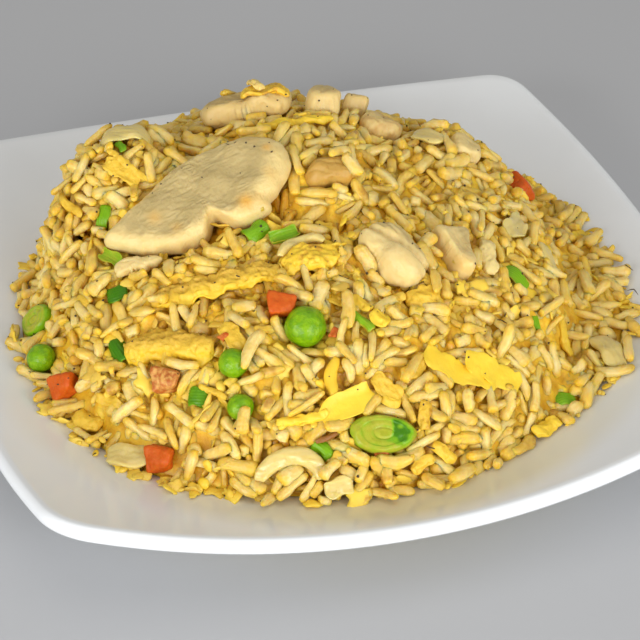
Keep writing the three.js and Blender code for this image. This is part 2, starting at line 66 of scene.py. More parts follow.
def number_grid(rows, columns, first=0):
    """The point numbers of a grid of rows and columns, counted along its rows."""
    return first + np.arange(rows * columns).reshape(rows, columns)


def quads(grid, around=False):
    """Four-cornered faces between neighbouring rows and columns of point numbers. With around,
    the last column joins the first. Rows that run outward, with columns that run
    anticlockwise, face up."""
    if around:
        grid = np.concatenate([grid, grid[:, :1]], axis=1)
    corners = [grid[:-1, :-1], grid[1:, :-1], grid[1:, 1:], grid[:-1, 1:]]
    return np.stack(corners, axis=-1).reshape(-1, 4)


def fan(pole, ring):
    """Three-cornered faces from a pole to a closed ring of point numbers."""
    return np.stack([np.full(len(ring), pole), ring, np.roll(ring, -1)], axis=-1)


def capped(grid):
    """The faces of a tube of rings whose ends close at two poles, numbered after the rings."""
    poles = [fan(grid.size, grid[0]), fan(grid.size + 1, grid[-1, ::-1])]
    return [quads(grid, around=True), *poles]


def make_piece(name, points, faces, slot, finish, nodes=(), **values):
    """A smooth mesh from points in millimetres and arrays of three- and four-cornered faces. It
    rides on the plate's body, takes the finish it is given and stands for the solids named in
    nodes. Slot is not used. Each further value has one number for each point and is kept as an
    attribute."""
    mesh = bpy.data.meshes.new(name)
    corners = np.concatenate([part.ravel() for part in faces]).astype(np.int32)
    counts = np.concatenate([np.full(len(part), part.shape[1]) for part in faces])
    mesh.vertices.add(len(points))
    mesh.vertices.foreach_set("co", (points * MM).astype(np.float32).ravel())
    mesh.loops.add(len(corners))
    mesh.loops.foreach_set("vertex_index", corners)
    mesh.polygons.add(len(counts))
    mesh.polygons.foreach_set("loop_start", (np.cumsum(counts) - counts).astype(np.int32))
    mesh.polygons.foreach_set("use_smooth", np.ones(len(counts), bool))
    mesh.update(calc_edges=True)
    for key, numbers in values.items():
        kept = mesh.attributes.new(key, "FLOAT", "POINT")
        kept.data.foreach_set("value", numbers.astype(np.float32))
    mesh.materials.append(finish.material)
    piece = bpy.data.objects.new(name, mesh)
    bpy.context.scene.collection.objects.link(piece)
    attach(piece, "root")
    if nodes:
        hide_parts(*nodes)
    return piece


class Value:
    """A shader socket that can be added, subtracted and multiplied."""

    def __init__(self, finish, socket):
        self.finish = finish
        self.socket = socket

    def math(self, operation, first, second=0.0):
        return self.finish.node("ShaderNodeMath", {"operation": operation}, {0: first, 1: second})

    def __add__(self, other):
        return self.math("ADD", self, other)

    def __sub__(self, other):
        return self.math("SUBTRACT", self, other)

    def __rsub__(self, other):
        return self.math("SUBTRACT", other, self)

    def __mul__(self, other):
        return self.math("MULTIPLY", self, other)

    def __abs__(self):
        return self.math("ABSOLUTE", self)

    __radd__ = __add__
    __rmul__ = __mul__

    def above(self, low, high):
        """0 below low, 1 above high and a smooth step between them."""
        settings = {"interpolation_type": "SMOOTHSTEP"}
        return self.finish.node("ShaderNodeMapRange", settings, {0: self, 1: low, 2: high})


class Finish:
    """A material. Fixed numbers and colours go on the shader's own sockets, and what changes
    over the surface is linked to them by wear."""

    def __init__(self, name, **fixed):
        self.material = bpy.data.materials.new(name)
        self.material.use_nodes = True
        self.tree = self.material.node_tree
        self.shader = self.tree.nodes["Principled BSDF"]
        for key, value in fixed.items():
            self.shader.inputs[key.replace("_", " ")].default_value = value
        place = self.tree.nodes.new("ShaderNodeTexCoord")
        self.place = Value(self, place.outputs["Object"])

    def node(self, kind, settings, sockets, output=0):
        """A node of a type: its settings are set first, then the values or links of its sockets."""
        made = self.tree.nodes.new(kind)
        for key, value in settings.items():
            setattr(made, key, value)
        for key, value in sockets.items():
            self.join(made.inputs[key], value)
        return Value(self, made.outputs[output])

    def join(self, socket, value):
        if isinstance(value, Value):
            self.tree.links.new(value.socket, socket)
        else:
            socket.default_value = value

    def wear(self, **changing):
        """Links values that change over the surface to the shader's sockets."""
        for key, value in changing.items():
            self.join(self.shader.inputs[key.replace("_", " ")], value)

    def noise(self, size, detail=2.0, sharp=0.5):
        """Cloudy pattern from 0 to 1 whose patches are about size millimetres across."""
        scale = 1 / (size * MM)
        sockets = {"Vector": self.place, "Scale": scale, "Detail": detail, "Roughness": sharp}
        return self.node("ShaderNodeTexNoise", {}, sockets)

    def kept(self, name):
        """A number that the mesh keeps for each of its points."""
        return self.node("ShaderNodeAttribute", {"attribute_name": name}, {}, "Fac")

    def blend(self, share, first, second):
        """A colour between two colours."""
        sockets = {
            0: share,
            6: first if isinstance(first, Value) else (*first, 1.0),
            7: second if isinstance(second, Value) else (*second, 1.0),
        }
        return self.node("ShaderNodeMix", {"data_type": "RGBA"}, sockets, 2)

    def mottled(self, size, detail, first, second):
        """A colour that drifts between two colours in patches of about size millimetres."""
        return self.blend(self.noise(size, detail), first, second)

    def bump(self, height, depth):
        """Relief in the normal alone, for what is too fine for the mesh. Depth is millimetres."""
        return self.node("ShaderNodeBump", {}, {"Height": height, "Distance": depth * MM})


def plate_outline(angle):
    """Distance from the middle to the outline. The angle is folded to the middle of a side. Near
    it the outline is the side's arc, whose centre lies behind the middle of the plate, and past
    the point where they meet it is the corner's arc, which touches both sides."""
    quarter = np.pi / 2
    fold = np.abs((angle + quarter / 2) % quarter - quarter / 2)
    back = SIDE_RADIUS - HALF_SIDE
    reach = SIDE_RADIUS - CORNER_RADIUS
    corner = (-back + np.sqrt(2 * reach**2 - back**2)) / 2
    tangent = np.arctan2(corner, corner + back)
    meet = np.arctan2(SIDE_RADIUS * np.sin(tangent), SIDE_RADIUS * np.cos(tangent) - back)
    side = -back * np.cos(fold) + np.sqrt(SIDE_RADIUS**2 - (back * np.sin(fold)) ** 2)
    along = corner * (np.cos(fold) + np.sin(fold))
    aside = corner * (np.cos(fold) - np.sin(fold))
    turn = along + np.sqrt(np.maximum(0, CORNER_RADIUS**2 - aside**2))
    return np.where(fold < meet, side, turn)


def dish_height(radius):
    """Height of the upper face: the well, then a rise that grows with the square of the way
    from the well to the lip."""
    slope = np.maximum(0, radius - WELL_RADIUS) / (HALF_SIDE - WELL_RADIUS)
    return WELL_HEIGHT + LIP_RISE * slope**2


def plate_rows(angle):
    """Radius and height of the plate's surface at each angle, row by row: out over the upper
    face, round the half circle of the lip, back in below, down and up the foot ring with its
    softened edges, and in to the middle."""
    edge = plate_outline(angle)
    lip = edge - WALL / 2
    rows = []
    for share in np.linspace(0, 1, PLATE_ROWS)[1:]:
        rows.append((share * lip, dish_height(share * lip)))
    for turn in np.linspace(np.pi / 2, -np.pi / 2, LIP_ROWS)[1:]:
        height = dish_height(lip) - WALL / 2 + WALL / 2 * np.sin(turn)
        rows.append((lip + WALL / 2 * np.cos(turn), height))
    for share in np.linspace(1, FOOT_OUTER + 0.02, PLATE_ROWS // 3)[1:]:
        rows.append((share * lip, dish_height(share * lip) - WALL))
    middle = (FOOT_OUTER + FOOT_INNER) / 2
    half = (FOOT_OUTER - FOOT_INNER) / 2
    for outward in (1, -1):
        for share, lift in FOOT_STEPS[::outward]:
            radius = (middle + outward * share * half) * edge
            rows.append((radius, lift * (dish_height(radius) - WALL)))
    for share in np.linspace(FOOT_INNER - 0.02, 0, PLATE_ROWS // 4)[:-1]:
        rows.append((share * edge, dish_height(share * edge) - WALL))
    return np.array(rows)


even = np.linspace(0, 2 * np.pi, PLATE_COLUMNS, endpoint=False)
angle = even + CORNER_CROWDING / 4 * np.sin(4 * even)
radius, height = plate_rows(angle).transpose(1, 0, 2)
ring_points = np.stack([radius * np.cos(angle), radius * np.sin(angle), height], axis=-1)
middles = np.array([[0, 0, WELL_HEIGHT], [0, 0, WELL_HEIGHT - WALL]])
faces = capped(number_grid(len(radius), PLATE_COLUMNS))

porcelain = Finish("porcelain", Base_Color=(*PORCELAIN, 1.0), Roughness=0.12)
glazed = porcelain.blend(porcelain.noise(25, 3).above(0.3, 0.8), PORCELAIN, GLAZE_SHADE)
# The yellow tint at the front, from the kept numbers, is painted reflection and bounce light of the
# rice.
porcelain.wear(
    Base_Color=porcelain.blend(porcelain.kept("film"), glazed, PAINTED_REFLECTION),
    Roughness=0.1 + 0.06 * porcelain.noise(9, 3),
    Normal=porcelain.bump(porcelain.noise(14, 2), 0.05),
)
points = np.concatenate([ring_points.reshape(-1, 3), middles])
x, y = points[:, 0], points[:, 1]
# Where the painted reflection of the rice lies: in front of the heap, fading out before the lip and
# towards the sides.
film = np.clip(-y / REFLECTION_RISE, 0, 1) * np.clip((REFLECTION_REACH - np.hypot(x, y)) / REFLECTION_FADE, 0, 1)
film = film * (0.25 + 0.75 * np.exp(-((x / REFLECTION_WIDTH) ** 2)))
make_piece("porcelain_plate", points, faces, "porcelain", porcelain, ["plate"], film=film)

# Chicken: ten cuts of cooked breast, one large thin slice at the left and nine smaller pieces. Each
# is cut by hand across its fibres, stir-fried pale with a few golden spots, and lies on the rice.
EDGE_RADIUS = 77.0
EDGE_WAVES = [(3, 1.5, 2.4), (7, 0.8, 5.5)]
DOME_CENTRE = (-6.0, 1.0)
DOME_LEFT, DOME_RIGHT, DOME_BACK, DOME_FRONT = 63.0, 67.0, 72.0, 77.0
DOME_HEIGHT = 29.5
SIDE_POWER = 0.5
FRONT_POWER = 0.8
APRON_HEIGHT = 3.9
SHOULDERS = [(-48, 22, 16, 16), (-3, 20, 8, 24), (41, 16, 7, 13)]
SWELLS = [(0.23, 0.11, 0.5), (-0.12, 0.27, 1.9), (0.19, -0.21, 4.0)]
SWELL_HEIGHT = 0.5


def edge_radius(angle):
    """Distance from the middle to the edge of the heap: a circle with two slow waves."""
    waves = [swing * np.sin(count * angle + phase) for count, swing, phase in EDGE_WAVES]
    return EDGE_RADIUS + sum(waves)


def heap_height(x, y):
    """Height of the heap: the level of its edge, an apron that rises from the edge with a
    root, a dome that is 1 less the squares of the ways out, to a power that grows to the
    front, three shoulders that fall with exp of minus the way to the third, and low sines."""
    span = np.hypot(x, y) / edge_radius(np.arctan2(y, x))
    room = np.maximum(0, 1 - span**2)
    dx, dy = x - DOME_CENTRE[0], y - DOME_CENTRE[1]
    reach_x = np.where(dx < 0, DOME_LEFT, DOME_RIGHT)
    reach_y = np.where(dy < 0, DOME_FRONT, DOME_BACK)
    inside = np.maximum(0, 1 - (dx / reach_x) ** 2 - (dy / reach_y) ** 2)
    frontness = (np.maximum(0, -dy) / np.maximum(1e-6, np.hypot(dx, dy))) ** 2
    power = SIDE_POWER + (FRONT_POWER - SIDE_POWER) * frontness
    edge = np.minimum(1, 4 * room)
    height = np.maximum(dish_height(np.hypot(x, y)), dish_height(EDGE_RADIUS))
    height = height + APRON_HEIGHT * np.sqrt(room) + DOME_HEIGHT * inside**power
    for lump_x, lump_y, lump_height, width in SHOULDERS:
        away = ((x - lump_x) ** 2 + (y - lump_y) ** 2) / width**2
        height = height + lump_height * edge * np.exp(-(away**1.5))
    for kx, ky, phase in SWELLS:
        height = height + SWELL_HEIGHT * edge * np.sin(kx * x + ky * y + phase)
    return height


def heap_normal(x, y, step=1.0):
    """Unit normals of the heap, from its rise over a short step each way."""
    rise_x = (heap_height(x + step, y) - heap_height(x - step, y)) / (2 * step)
    rise_y = (heap_height(x, y + step) - heap_height(x, y - step)) / (2 * step)
    normal = np.stack([-rise_x, -rise_y, np.ones_like(rise_x)], axis=-1)
    return normal / np.linalg.norm(normal, axis=-1, keepdims=True)


def on_disc(u, v):
    """Radius and angle of square grid points moved onto a disc of radius 1, ring by ring."""
    radius = np.maximum(np.abs(u), np.abs(v))
    upright = np.abs(v) > np.abs(u)
    small = np.where(upright, u, v)
    large = np.where(upright, v, u)
    swing = np.pi / 4 * small / np.where(radius > 0, large, 1)
    turned = np.where(upright, np.pi / 2 - swing, swing)
    return radius, turned + np.where(large < 0, np.pi, 0)


def two_faces(rows, columns):
    """A closed sheet: u and v from -1 to 1, and the side, 1 above and -1 below, of a grid whose
    upper and lower face share the points of their edge, with the faces between them."""
    v, u = np.meshgrid(np.linspace(1, -1, rows + 1), np.linspace(-1, 1, columns + 1), indexing="ij")
    upper = number_grid(rows + 1, columns + 1)
    lower = upper.copy()
    lower[1:-1, 1:-1] = number_grid(rows - 1, columns - 1, upper.size)
    inner = (slice(1, -1), slice(1, -1))
    side = np.concatenate([np.ones(u.size), -np.ones((rows - 1) * (columns - 1))])
    all_u = np.concatenate([u.ravel(), u[inner].ravel()])
    all_v = np.concatenate([v.ravel(), v[inner].ravel()])
    return all_u, all_v, side, [quads(upper), quads(lower)[:, ::-1]]


def cloud(points, size, seed):
    """Smooth random field from -1 to 1 with patches of about size: each corner of a cubic
    lattice draws a number by mixing its bits, and the eight round a point are blended."""
    place = points / size + seed * 7.31
    cell = np.floor(place).astype(np.int64)
    part = place - cell
    part = part * part * (3 - 2 * part)
    total = np.zeros(len(points))
    for corner in np.ndindex(2, 2, 2):
        key = (cell + corner) @ np.array([374761393, 668265263, 2147483647])
        key = (key ^ (key >> 13)) * 1274126177 & 0xFFFFFFFF
        drawn = ((key ^ (key >> 16)) & 0xFFFF) / 32767.5 - 1
        share = np.where(corner, part, 1 - part).prod(axis=1)
        total += share * drawn
    return total


SLICE_OUTLINE = [
    (-26.8, 0), (-21.9, 3.3), (-15, 5.4), (-6.4, 9.1), (3.2, 10.7), (14.5, 10.2), (22.8, 7),
    (26.2, -0.5), (21.4, -7.4), (15.8, -10.5), (14, -13.6), (6, -13.9), (0.8, -8.2), (-3.8, -12.3),
    (-11.2, -11.7), (-20.3, -7),
]
SLICE_SPOTS = [
    (8.9, -9.5, 1.8, 0.8), (19.9, 1.7, 1.2, 0.6), (-11.8, -2, 1.6, 0.35), (-8.3, -7, 1.4, 0.35),
]
WEDGE_OUTLINE = [
    (-7.8, 0), (-7.4, -4.5), (-2.5, -3.8), (2.5, -2.9), (6.6, -2.2), (7.9, 0.3), (6.2, 2.6),
    (1.5, 3.2), (-3, 3.9), (-7.2, 4.4),
]


def topping(node, x, y, turn, lift, length, width, thick, **own):
    """The entry of a topping: the solid that it stands for, if any, its place on the plate, its
    turn and lift, its length, width and thickness, and what else is its own."""
    entry = {"at": (x, y), "turn": turn, "lift": lift, "size": (length, width, thick), **own}
    return {"node": node, **entry} if node else entry


CHICKEN = [
    topping("chicken_slice", -28.5, 1.2, 7, 2.4, 52, 28, 8, roll=10, cells=150, bundles=(3.0, 0.05),
            grey=1.0, swell=0.3, rim=9.0, wrinkle=0.3, outline=SLICE_OUTLINE, spots=SLICE_SPOTS),
    topping("chicken_chunk", 11.5, -27, -58, 1.5, 20, 13, 9, bundles=(2.4, 0.5), rim=4.0, grey=0.6,
            crease=(1.0, 0.15, 1.5, 0.9)),
    topping("chicken_wedge", 27, -26, -88, 1, 16, 8.5, 7, bundles=(1.8, 0.22), grey=0.9, rim=12.0,
            swell=0.3, crossed=True, crease=(0.6, 0.25, 0.25, 1.0), outline=WEDGE_OUTLINE),
    topping("chicken_top_left", -10, 30, -15, 2.6, 24, 11, 7, bundles=(2.2, 0.6), grey=0.85,
            square=3.5, wrinkle=0.25, oiled=0.3, swell=1.0, frayed=0.08),
    topping("chicken_top", 8.5, 27, 75, 2.2, 10.5, 8.5, 8, square=3.5, rim=6.0, grey=0.5,
            oiled=0.15),
    topping("chicken_top_small", 17, 30, -22, 2.4, 7, 6, 5.5, square=7.0, rim=10.0, swell=0.3,
            oiled=0.3),
    topping("chicken_ridge", 21.5, 21.8, -5, 1.2, 13, 9, 6.5, bundles=(1.6, 0.35), brown=0.4,
            wrinkle=0.25, oiled=0.2),
    topping("chicken_round", 3, -1.5, 11, 0.8, 12.5, 8, 7, bundles=(3.4, 0.6), oiled=1.0),
    topping("chicken_right", 41, 11.5, -8, 0.8, 9.5, 6.5, 5, square=4.0, grey=0.5),
    topping("chicken_shred", -46.5, -10.5, -20, 1.2, 11, 4.2, 3.4, bundles=(1.3, 0.5), swell=0.7,
            frayed=0.28),
]
WHOLE_CUT = {
    "outline": None, "roll": 0.0, "cells": 64, "bundles": (2.8, 0.3), "swell": 0.6, "square": 2.6,
    "rim": 5.0, "wrinkle": 0.16, "spots": [], "crossed": False, "crease": (-50.0, 0.0, 0.0, 1.0),
    "grey": 0.0, "brown": 0.0, "oiled": 0.0, "frayed": 0.03,
}
INSET = 0.93
OUTLINE_WAVES = 0.05
LUMPINESS = 0.12
food = []


def phase_of(at, step):
    """Where the waves of a piece start: an angle from its place on the plate."""
    return 1.3 * at[0] + 0.7 * at[1] + 2.1 * step


def smooth_outline(corners, steps=12):
    """Distance from the middle, at each angle, to a closed curve through the corners: between
    two of them it is the cubic whose slopes are half the way between their neighbours."""
    here = np.array(corners, float)
    before, after, later = (np.roll(here, shift, axis=0) for shift in (1, -1, -2))
    t = np.linspace(0, 1, steps, endpoint=False)[:, None, None]
    curve = here + (after - before) * t / 2
    curve = curve + (2 * before - 5 * here + 4 * after - later) * t**2 / 2
    curve = curve + (3 * here - before - 3 * after + later) * t**3 / 2
    curve = curve.reshape(-1, 2)
    turn = np.arctan2(curve[:, 1], curve[:, 0])
    reach = np.hypot(curve[:, 0], curve[:, 1])
    return lambda angle: np.interp(angle, turn, reach, period=2 * np.pi)


def normals_of(points, faces):
    """Unit normals at the points: the sum of the crossed diagonals of the faces that meet there."""
    total = np.zeros_like(points)
    for part in faces:
        first = points[part[:, 2]] - points[part[:, 0]]
        second = points[part[:, -1]] - points[part[:, 1]]
        crossed = np.cross(first, second)
        for axis in range(3):
            weights = np.repeat(crossed[:, axis], part.shape[1])
            total[:, axis] += np.bincount(part.ravel(), weights, len(points))
    return total / np.maximum(1e-12, np.linalg.norm(total, axis=1, keepdims=True))


def raised(points, faces, relief):
    """The points moved out along their normals by a relief, in millimetres."""
    return points + relief[:, None] * normals_of(points, faces)


def lay(points, at, reach, turn, roll, lift):
    """A piece in its own frame, moved onto the heap: it rolls about its length, rises by its
    lift and takes the plane through the heap's surface under its two ends and its two sides."""
    length, width = reach
    heading = np.radians(turn)
    along = np.array([np.cos(heading), np.sin(heading), 0])
    across = np.array([-along[1], along[0], 0])
    steps = np.array([[length / 2, 0], [-length / 2, 0], [0, width / 2], [0, -width / 2], [0, 0]])
    under = np.array(at) + steps[:, :1] * along[:2] + steps[:, 1:] * across[:2]
    heights = heap_height(under[:, 0], under[:, 1])
    along[2] = (heights[0] - heights[1]) / length
    across[2] = (heights[2] - heights[3]) / width
    along /= np.linalg.norm(along)
    normal = np.cross(along, across)
    normal /= np.linalg.norm(normal)
    across = np.cross(normal, along)
    tip = np.radians(roll)
    x, y, z = points.T
    rolled_y = y * np.cos(tip) - z * np.sin(tip)
    rolled_z = y * np.sin(tip) + z * np.cos(tip) + lift
    middle = (heights[:4].sum() + 2 * heights[4]) / 6
    placed = x[:, None] * along + rolled_y[:, None] * across + rolled_z[:, None] * normal
    return placed + np.array([*at, middle])


def serve(own, points, faces, slot, finish, spare="", **looks):
    """Lays a topping on the heap as its entry says and makes it. It is named after the solid that
    it stands for, or takes its spare name."""
    turn, roll, lift = own["turn"], own.get("roll", 0), own["lift"]
    points = lay(points, own["at"], own["size"][:2], turn, roll, lift)
    nodes = [own["node"]] if "node" in own else []
    make_piece("cooked_" + own.get("node", spare), points, faces, slot, finish, nodes, **looks)
    food.append(points)


def chicken_cut(cut):
    """A rounded slab in its own frame. A grid on a disc is crowded to its edge by a sine and
    stretched to the outline, or to an oval with two waves, and its edge is frayed by a cloud. Its
    Bundles of fibres lie side by side, as the size of a sine bent by a cloud, deeper in some
    parts, with fine wrinkles on them. A crease, a bell curve across its line, parts the cut, and
    beyond it the face is lower, in bundles, and darkened by painted shade as far as the cut says.
    Edge grows from 0 at the middle to 1 at the rim, and sooner at the front, where the painted
    shade gives way to the lit rim. Spot is a sum of bell curves round the golden
    spots."""
    at, cells, square = cut["at"], cut["cells"], cut["square"]
    length, width, thick = cut["size"]
    phases = [phase_of(at, step) for step in range(4)]
    u, v, side, faces = two_faces(cells, cells)
    share, angle = on_disc(u, v)
    share = np.sin(share * np.pi / 2)
    oval_x = np.abs(2 * np.cos(angle) / length) ** square
    oval_y = np.abs(2 * np.sin(angle) / width) ** square
    waves = OUTLINE_WAVES * np.sin(2 * angle + phases[0])
    waves = waves + OUTLINE_WAVES * np.sin(3 * angle + phases[1])
    reach = (oval_x + oval_y) ** (-1 / square) * (1 + waves)
    if cut["outline"]:
        reach = smooth_outline(cut["outline"])(angle)
    edge_place = np.stack([5 * np.cos(angle), 5 * np.sin(angle), 0 * angle], axis=-1) * thick / 4
    reach = reach * (1 + cut["frayed"] * share**6 * cloud(edge_place, 1.0, 12))
    x = INSET * share * reach * np.cos(angle)
    y = INSET * share * reach * np.sin(angle)
    lumps = np.sin(0.42 * x + phases[2]) * np.sin(0.5 * y + phases[3])
    half = thick / 2 * np.sqrt(np.maximum(0, 1 - share ** cut["rim"])) * (1 + LUMPINESS * lumps)
    points = np.stack([x, y, side * half], axis=-1)
    seed = round(abs(at[0] * 3 + at[1])) % 97
    spacing, depth = cut["bundles"]
    crease_y, slope, fall, crease_width = cut["crease"]
    past = y - crease_y - slope * x
    beyond = np.clip(past / 2, 0, 1)
    over, along = (x, y) if cut["crossed"] else (y, x)
    bent = over + 0.35 * along + 1.3 * spacing * cloud(points, 2.6 * spacing, seed + 2)
    fibres = np.abs(np.sin(np.pi * bent / spacing)) ** 0.8 - 0.6
    fibres = fibres * (0.5 + 0.5 * cloud(points, 5.0, seed + 4)) * (0.3 + 0.7 * beyond)
    fine = 0.5 - np.abs(cloud(points / (1.3, 0.8, 1.0), 1.0, seed + 3))
    fine = fine + 0.6 * (0.5 - np.abs(cloud(points, 0.6, seed + 5)))
    relief = cut["swell"] * (cloud(points, 4.5, seed) + 0.3 * cloud(points, 1.8, seed + 1))
    relief = relief + (depth * fibres + cut["wrinkle"] * fine) * (1 - share**6)
    relief = relief - fall * (np.exp(-((past / crease_width) ** 2)) + 0.4 * beyond)
    # Edge reaches the rim sooner at the front, so the painted shade of the top is narrower on the
    # side facing the lights.
    edge = share * (1 - 0.2 * np.minimum(0.4, y / width))
    spot = np.zeros(len(points))
    for spot_x, spot_y, radius, depth in cut["spots"]:
        spot += depth * np.exp(-((x - spot_x) ** 2 + (y - spot_y) ** 2) / radius**2)
    looks = {"edge": edge, "spot": spot, "grey": cut["grey"] * beyond}
    looks.update({key: np.full(len(points), cut[key]) for key in ("brown", "oiled")})
    return raised(points, faces, relief), faces, looks


chicken = Finish(
    "chicken", Subsurface_Weight=0.6, Subsurface_Radius=(1.0, 0.75, 0.45), Subsurface_Scale=0.003
)
# Painted shade: the grey-beige that darkens the tops of the cuts, which face away from the low
# lights at the front. The gold is the cooked meat's own colour.
grey_top = chicken.mottled(2.5, 3, (0.45, 0.34, 0.13), (0.60, 0.46, 0.20))
gold = chicken.mottled(4, 2, (0.71, 0.52, 0.18), (0.84, 0.67, 0.31))
# The painted shade stops at the rim, whose lit gold shows all round and sooner at the front.
rim = (chicken.kept("edge") + 0.3 * (chicken.noise(4, 2) - 0.5)).above(0.7, 0.92)
cut_colour = chicken.blend(chicken.kept("grey") * (1 - rim), gold, grey_top)
cut_colour = chicken.blend(chicken.kept("oiled"), cut_colour, (0.52, 0.31, 0.06))
spots = chicken.noise(9, 1, sharp=0.3).above(0.64, 0.8) * 0.3 + chicken.kept("spot")
seared = chicken.noise(3, 3).above(0.42, 0.62) * chicken.kept("brown")
cut_colour = chicken.blend(spots, cut_colour, (0.80, 0.42, 0.05))
chicken.wear(
    Base_Color=chicken.blend(seared, cut_colour, (0.50, 0.22, 0.04)),
    Roughness=0.38 + 0.2 * chicken.noise(2, 2),
    Normal=chicken.bump(chicken.noise(0.6, 3), 0.12),
)
for own in CHICKEN:
    cut = {**WHOLE_CUT, **own}
    points, faces, looks = chicken_cut(cut)
    serve(cut, points, faces, "chicken", chicken, **looks)

# Egg: soft curds and strips of egg, scrambled in the pan and torn. Each is a thin, pored sheet with
# ragged edges, bright yellow where it is thick and browned where it lay on the pan. The last entry
# is a dark husk, burnt in the pan.
EGG = [
    topping("egg_strip", -31, -25, -8, 0.6, 31, 6.5, 2.2, ruffle=0.7, front=1.0, bright=0.0,
            crumple=1.0),
    topping("egg_knob", -8.5, -26, 9, 1, 14, 8, 3.6, arch=70, ruffle=0.8, brown=0.9, crumple=0.9,
            bright=0.8),
    topping("egg_fold", -44, -35, -30, 1, 22.5, 8, 3, cup=-1.6, front=1.0, bright=0.0, crumple=1.0),
    topping("egg_leaf", -9.5, -60.5, 20, 0.9, 13.5, 6.6, 1.1, cup=1, bright=1.0, crumple=0.1,
            ragged=0.06, tip=1.8, ruffle=0.15),
    topping("egg_bright_front", 18.5, -55.5, -22, 0.9, 18.5, 6, 0.9, bend=25, bright=1.0,
            crumple=0.1, cup=0.3, ruffle=0.5, ragged=0.3),
    topping("egg_bright_back", 27, -55, -15, 0.8, 15, 6.6, 0.9, bend=-30, bright=1.0, crumple=0.1,
            cup=0.3, ruffle=0.5, ragged=0.3),
    topping("egg_sliver", -11.3, -55, -108, 0.9, 10, 3, 2, bend=50, bright=0.8, crumple=0.15,
            ragged=0.05, tip=1.6, ruffle=0.1),
    topping("egg_right_low", 38, -64, 23, 0.7, 8, 4, 1.8, bright=0.9),
    topping("egg_right_up", 51, -37.5, -88, 0.6, 12, 3.6, 1.8, bend=20, bright=0.7),
    topping("egg_top_strip", -1, 17.5, 5, 0.8, 19.5, 3, 1.8, ruffle=0.5, bright=1.0),
    topping("egg_browned", -6, 27.5, -15, 6.4, 13, 7, 1.8, arch=50, ruffle=0.5, brown=0.9,
            bright=0.5),
    topping("egg_left_flake", -45.5, 12.5, -40, 0.9, 10, 5, 1.8, cup=0.8),
    topping("egg_left_low", -64.5, -36, -50, 1.2, 8, 4.8, 2.2, arch=40),
    topping("egg_curl", 15.5, -39, 3, 0.8, 10, 5.5, 1.8, arch=100),
    topping("egg_mid_low", 0.5, -58.5, -39, 0.7, 8, 4.4, 1.8, cup=0.8, brown=0.4),
    topping("egg_mid_high", 8.5, -54.5, 36, 0.7, 7.5, 4.4, 1.8, arch=40),
    topping("egg_white", 35.4, -25, -98, 1, 10.5, 4.6, 3, arch=30, pale=1.0),
    topping("egg_strand", -19.5, -62, -4, 1.3, 12, 2.6, 1.6, bend=40, bright=0.9),
    topping(None, -8.1, 27.4, -70, 8.2, 7, 2.6, 1.2, arch=60, pale=0.6),
    topping(None, 0, -39.6, -60, 0.8, 6, 3, 1.2, bright=0.8),
    topping(None, 2.7, -44.7, -46, 0.8, 4.8, 4, 1.2, bright=0.9),
    topping(None, -37, -49.3, -44, 0.8, 7.5, 1.6, 1, brown=0.6),
    topping(None, -30.4, -40.7, -62, 0.8, 8, 4.4, 1.3, cup=0.6),
    topping(None, -58.5, -36.8, -55, 0.8, 8.5, 3, 1.2, ruffle=0.6),
    topping(None, 0.9, -61, -21, 0.8, 4.7, 3, 1.2, bright=0.6),
    topping(None, 10.5, -70.9, -20, 0.8, 7, 3, 1.3, bright=0.5),
    topping(None, 18.1, -61, -11, 0.8, 3.9, 3, 1.2, bright=0.5),
    topping(None, -3, -39.9, -80, 0.8, 4.6, 2.6, 1.2, bright=0.7),
    topping(None, -23.3, 26, -39, 1.5, 3.2, 2.6, 2, bright=0.9),
    topping(None, -44, 13.4, -50, 1.6, 13, 2, 1.2, brown=0.7),
    topping(None, -58, 14, -66, 0.8, 10, 2.4, 1.4, brown=0.3),
    topping(None, 7.7, -65, -106, 0.8, 7, 3, 1.4, brown=1.0),
    topping(None, 5, -72.5, 21, 0.8, 6, 3, 1.3, bright=0.4),
    topping(None, -15.3, -65.9, 9, 1.2, 5.4, 1.3, 1.1, brown=3.0, crumple=0),
]
RUFFLE_LENGTH = 7.0
PORE_SIZE = 0.8
FOLD_SIZE = 1.7
TORN_WIDE, TORN_SMALL = 0.34, 0.18
WHOLE_STRIP = {"crumple": 0.7, "front": 0.0, "bright": 0.4}
STRIP_KEYS = ("bend", "arch", "cup", "ruffle", "ragged", "tip")


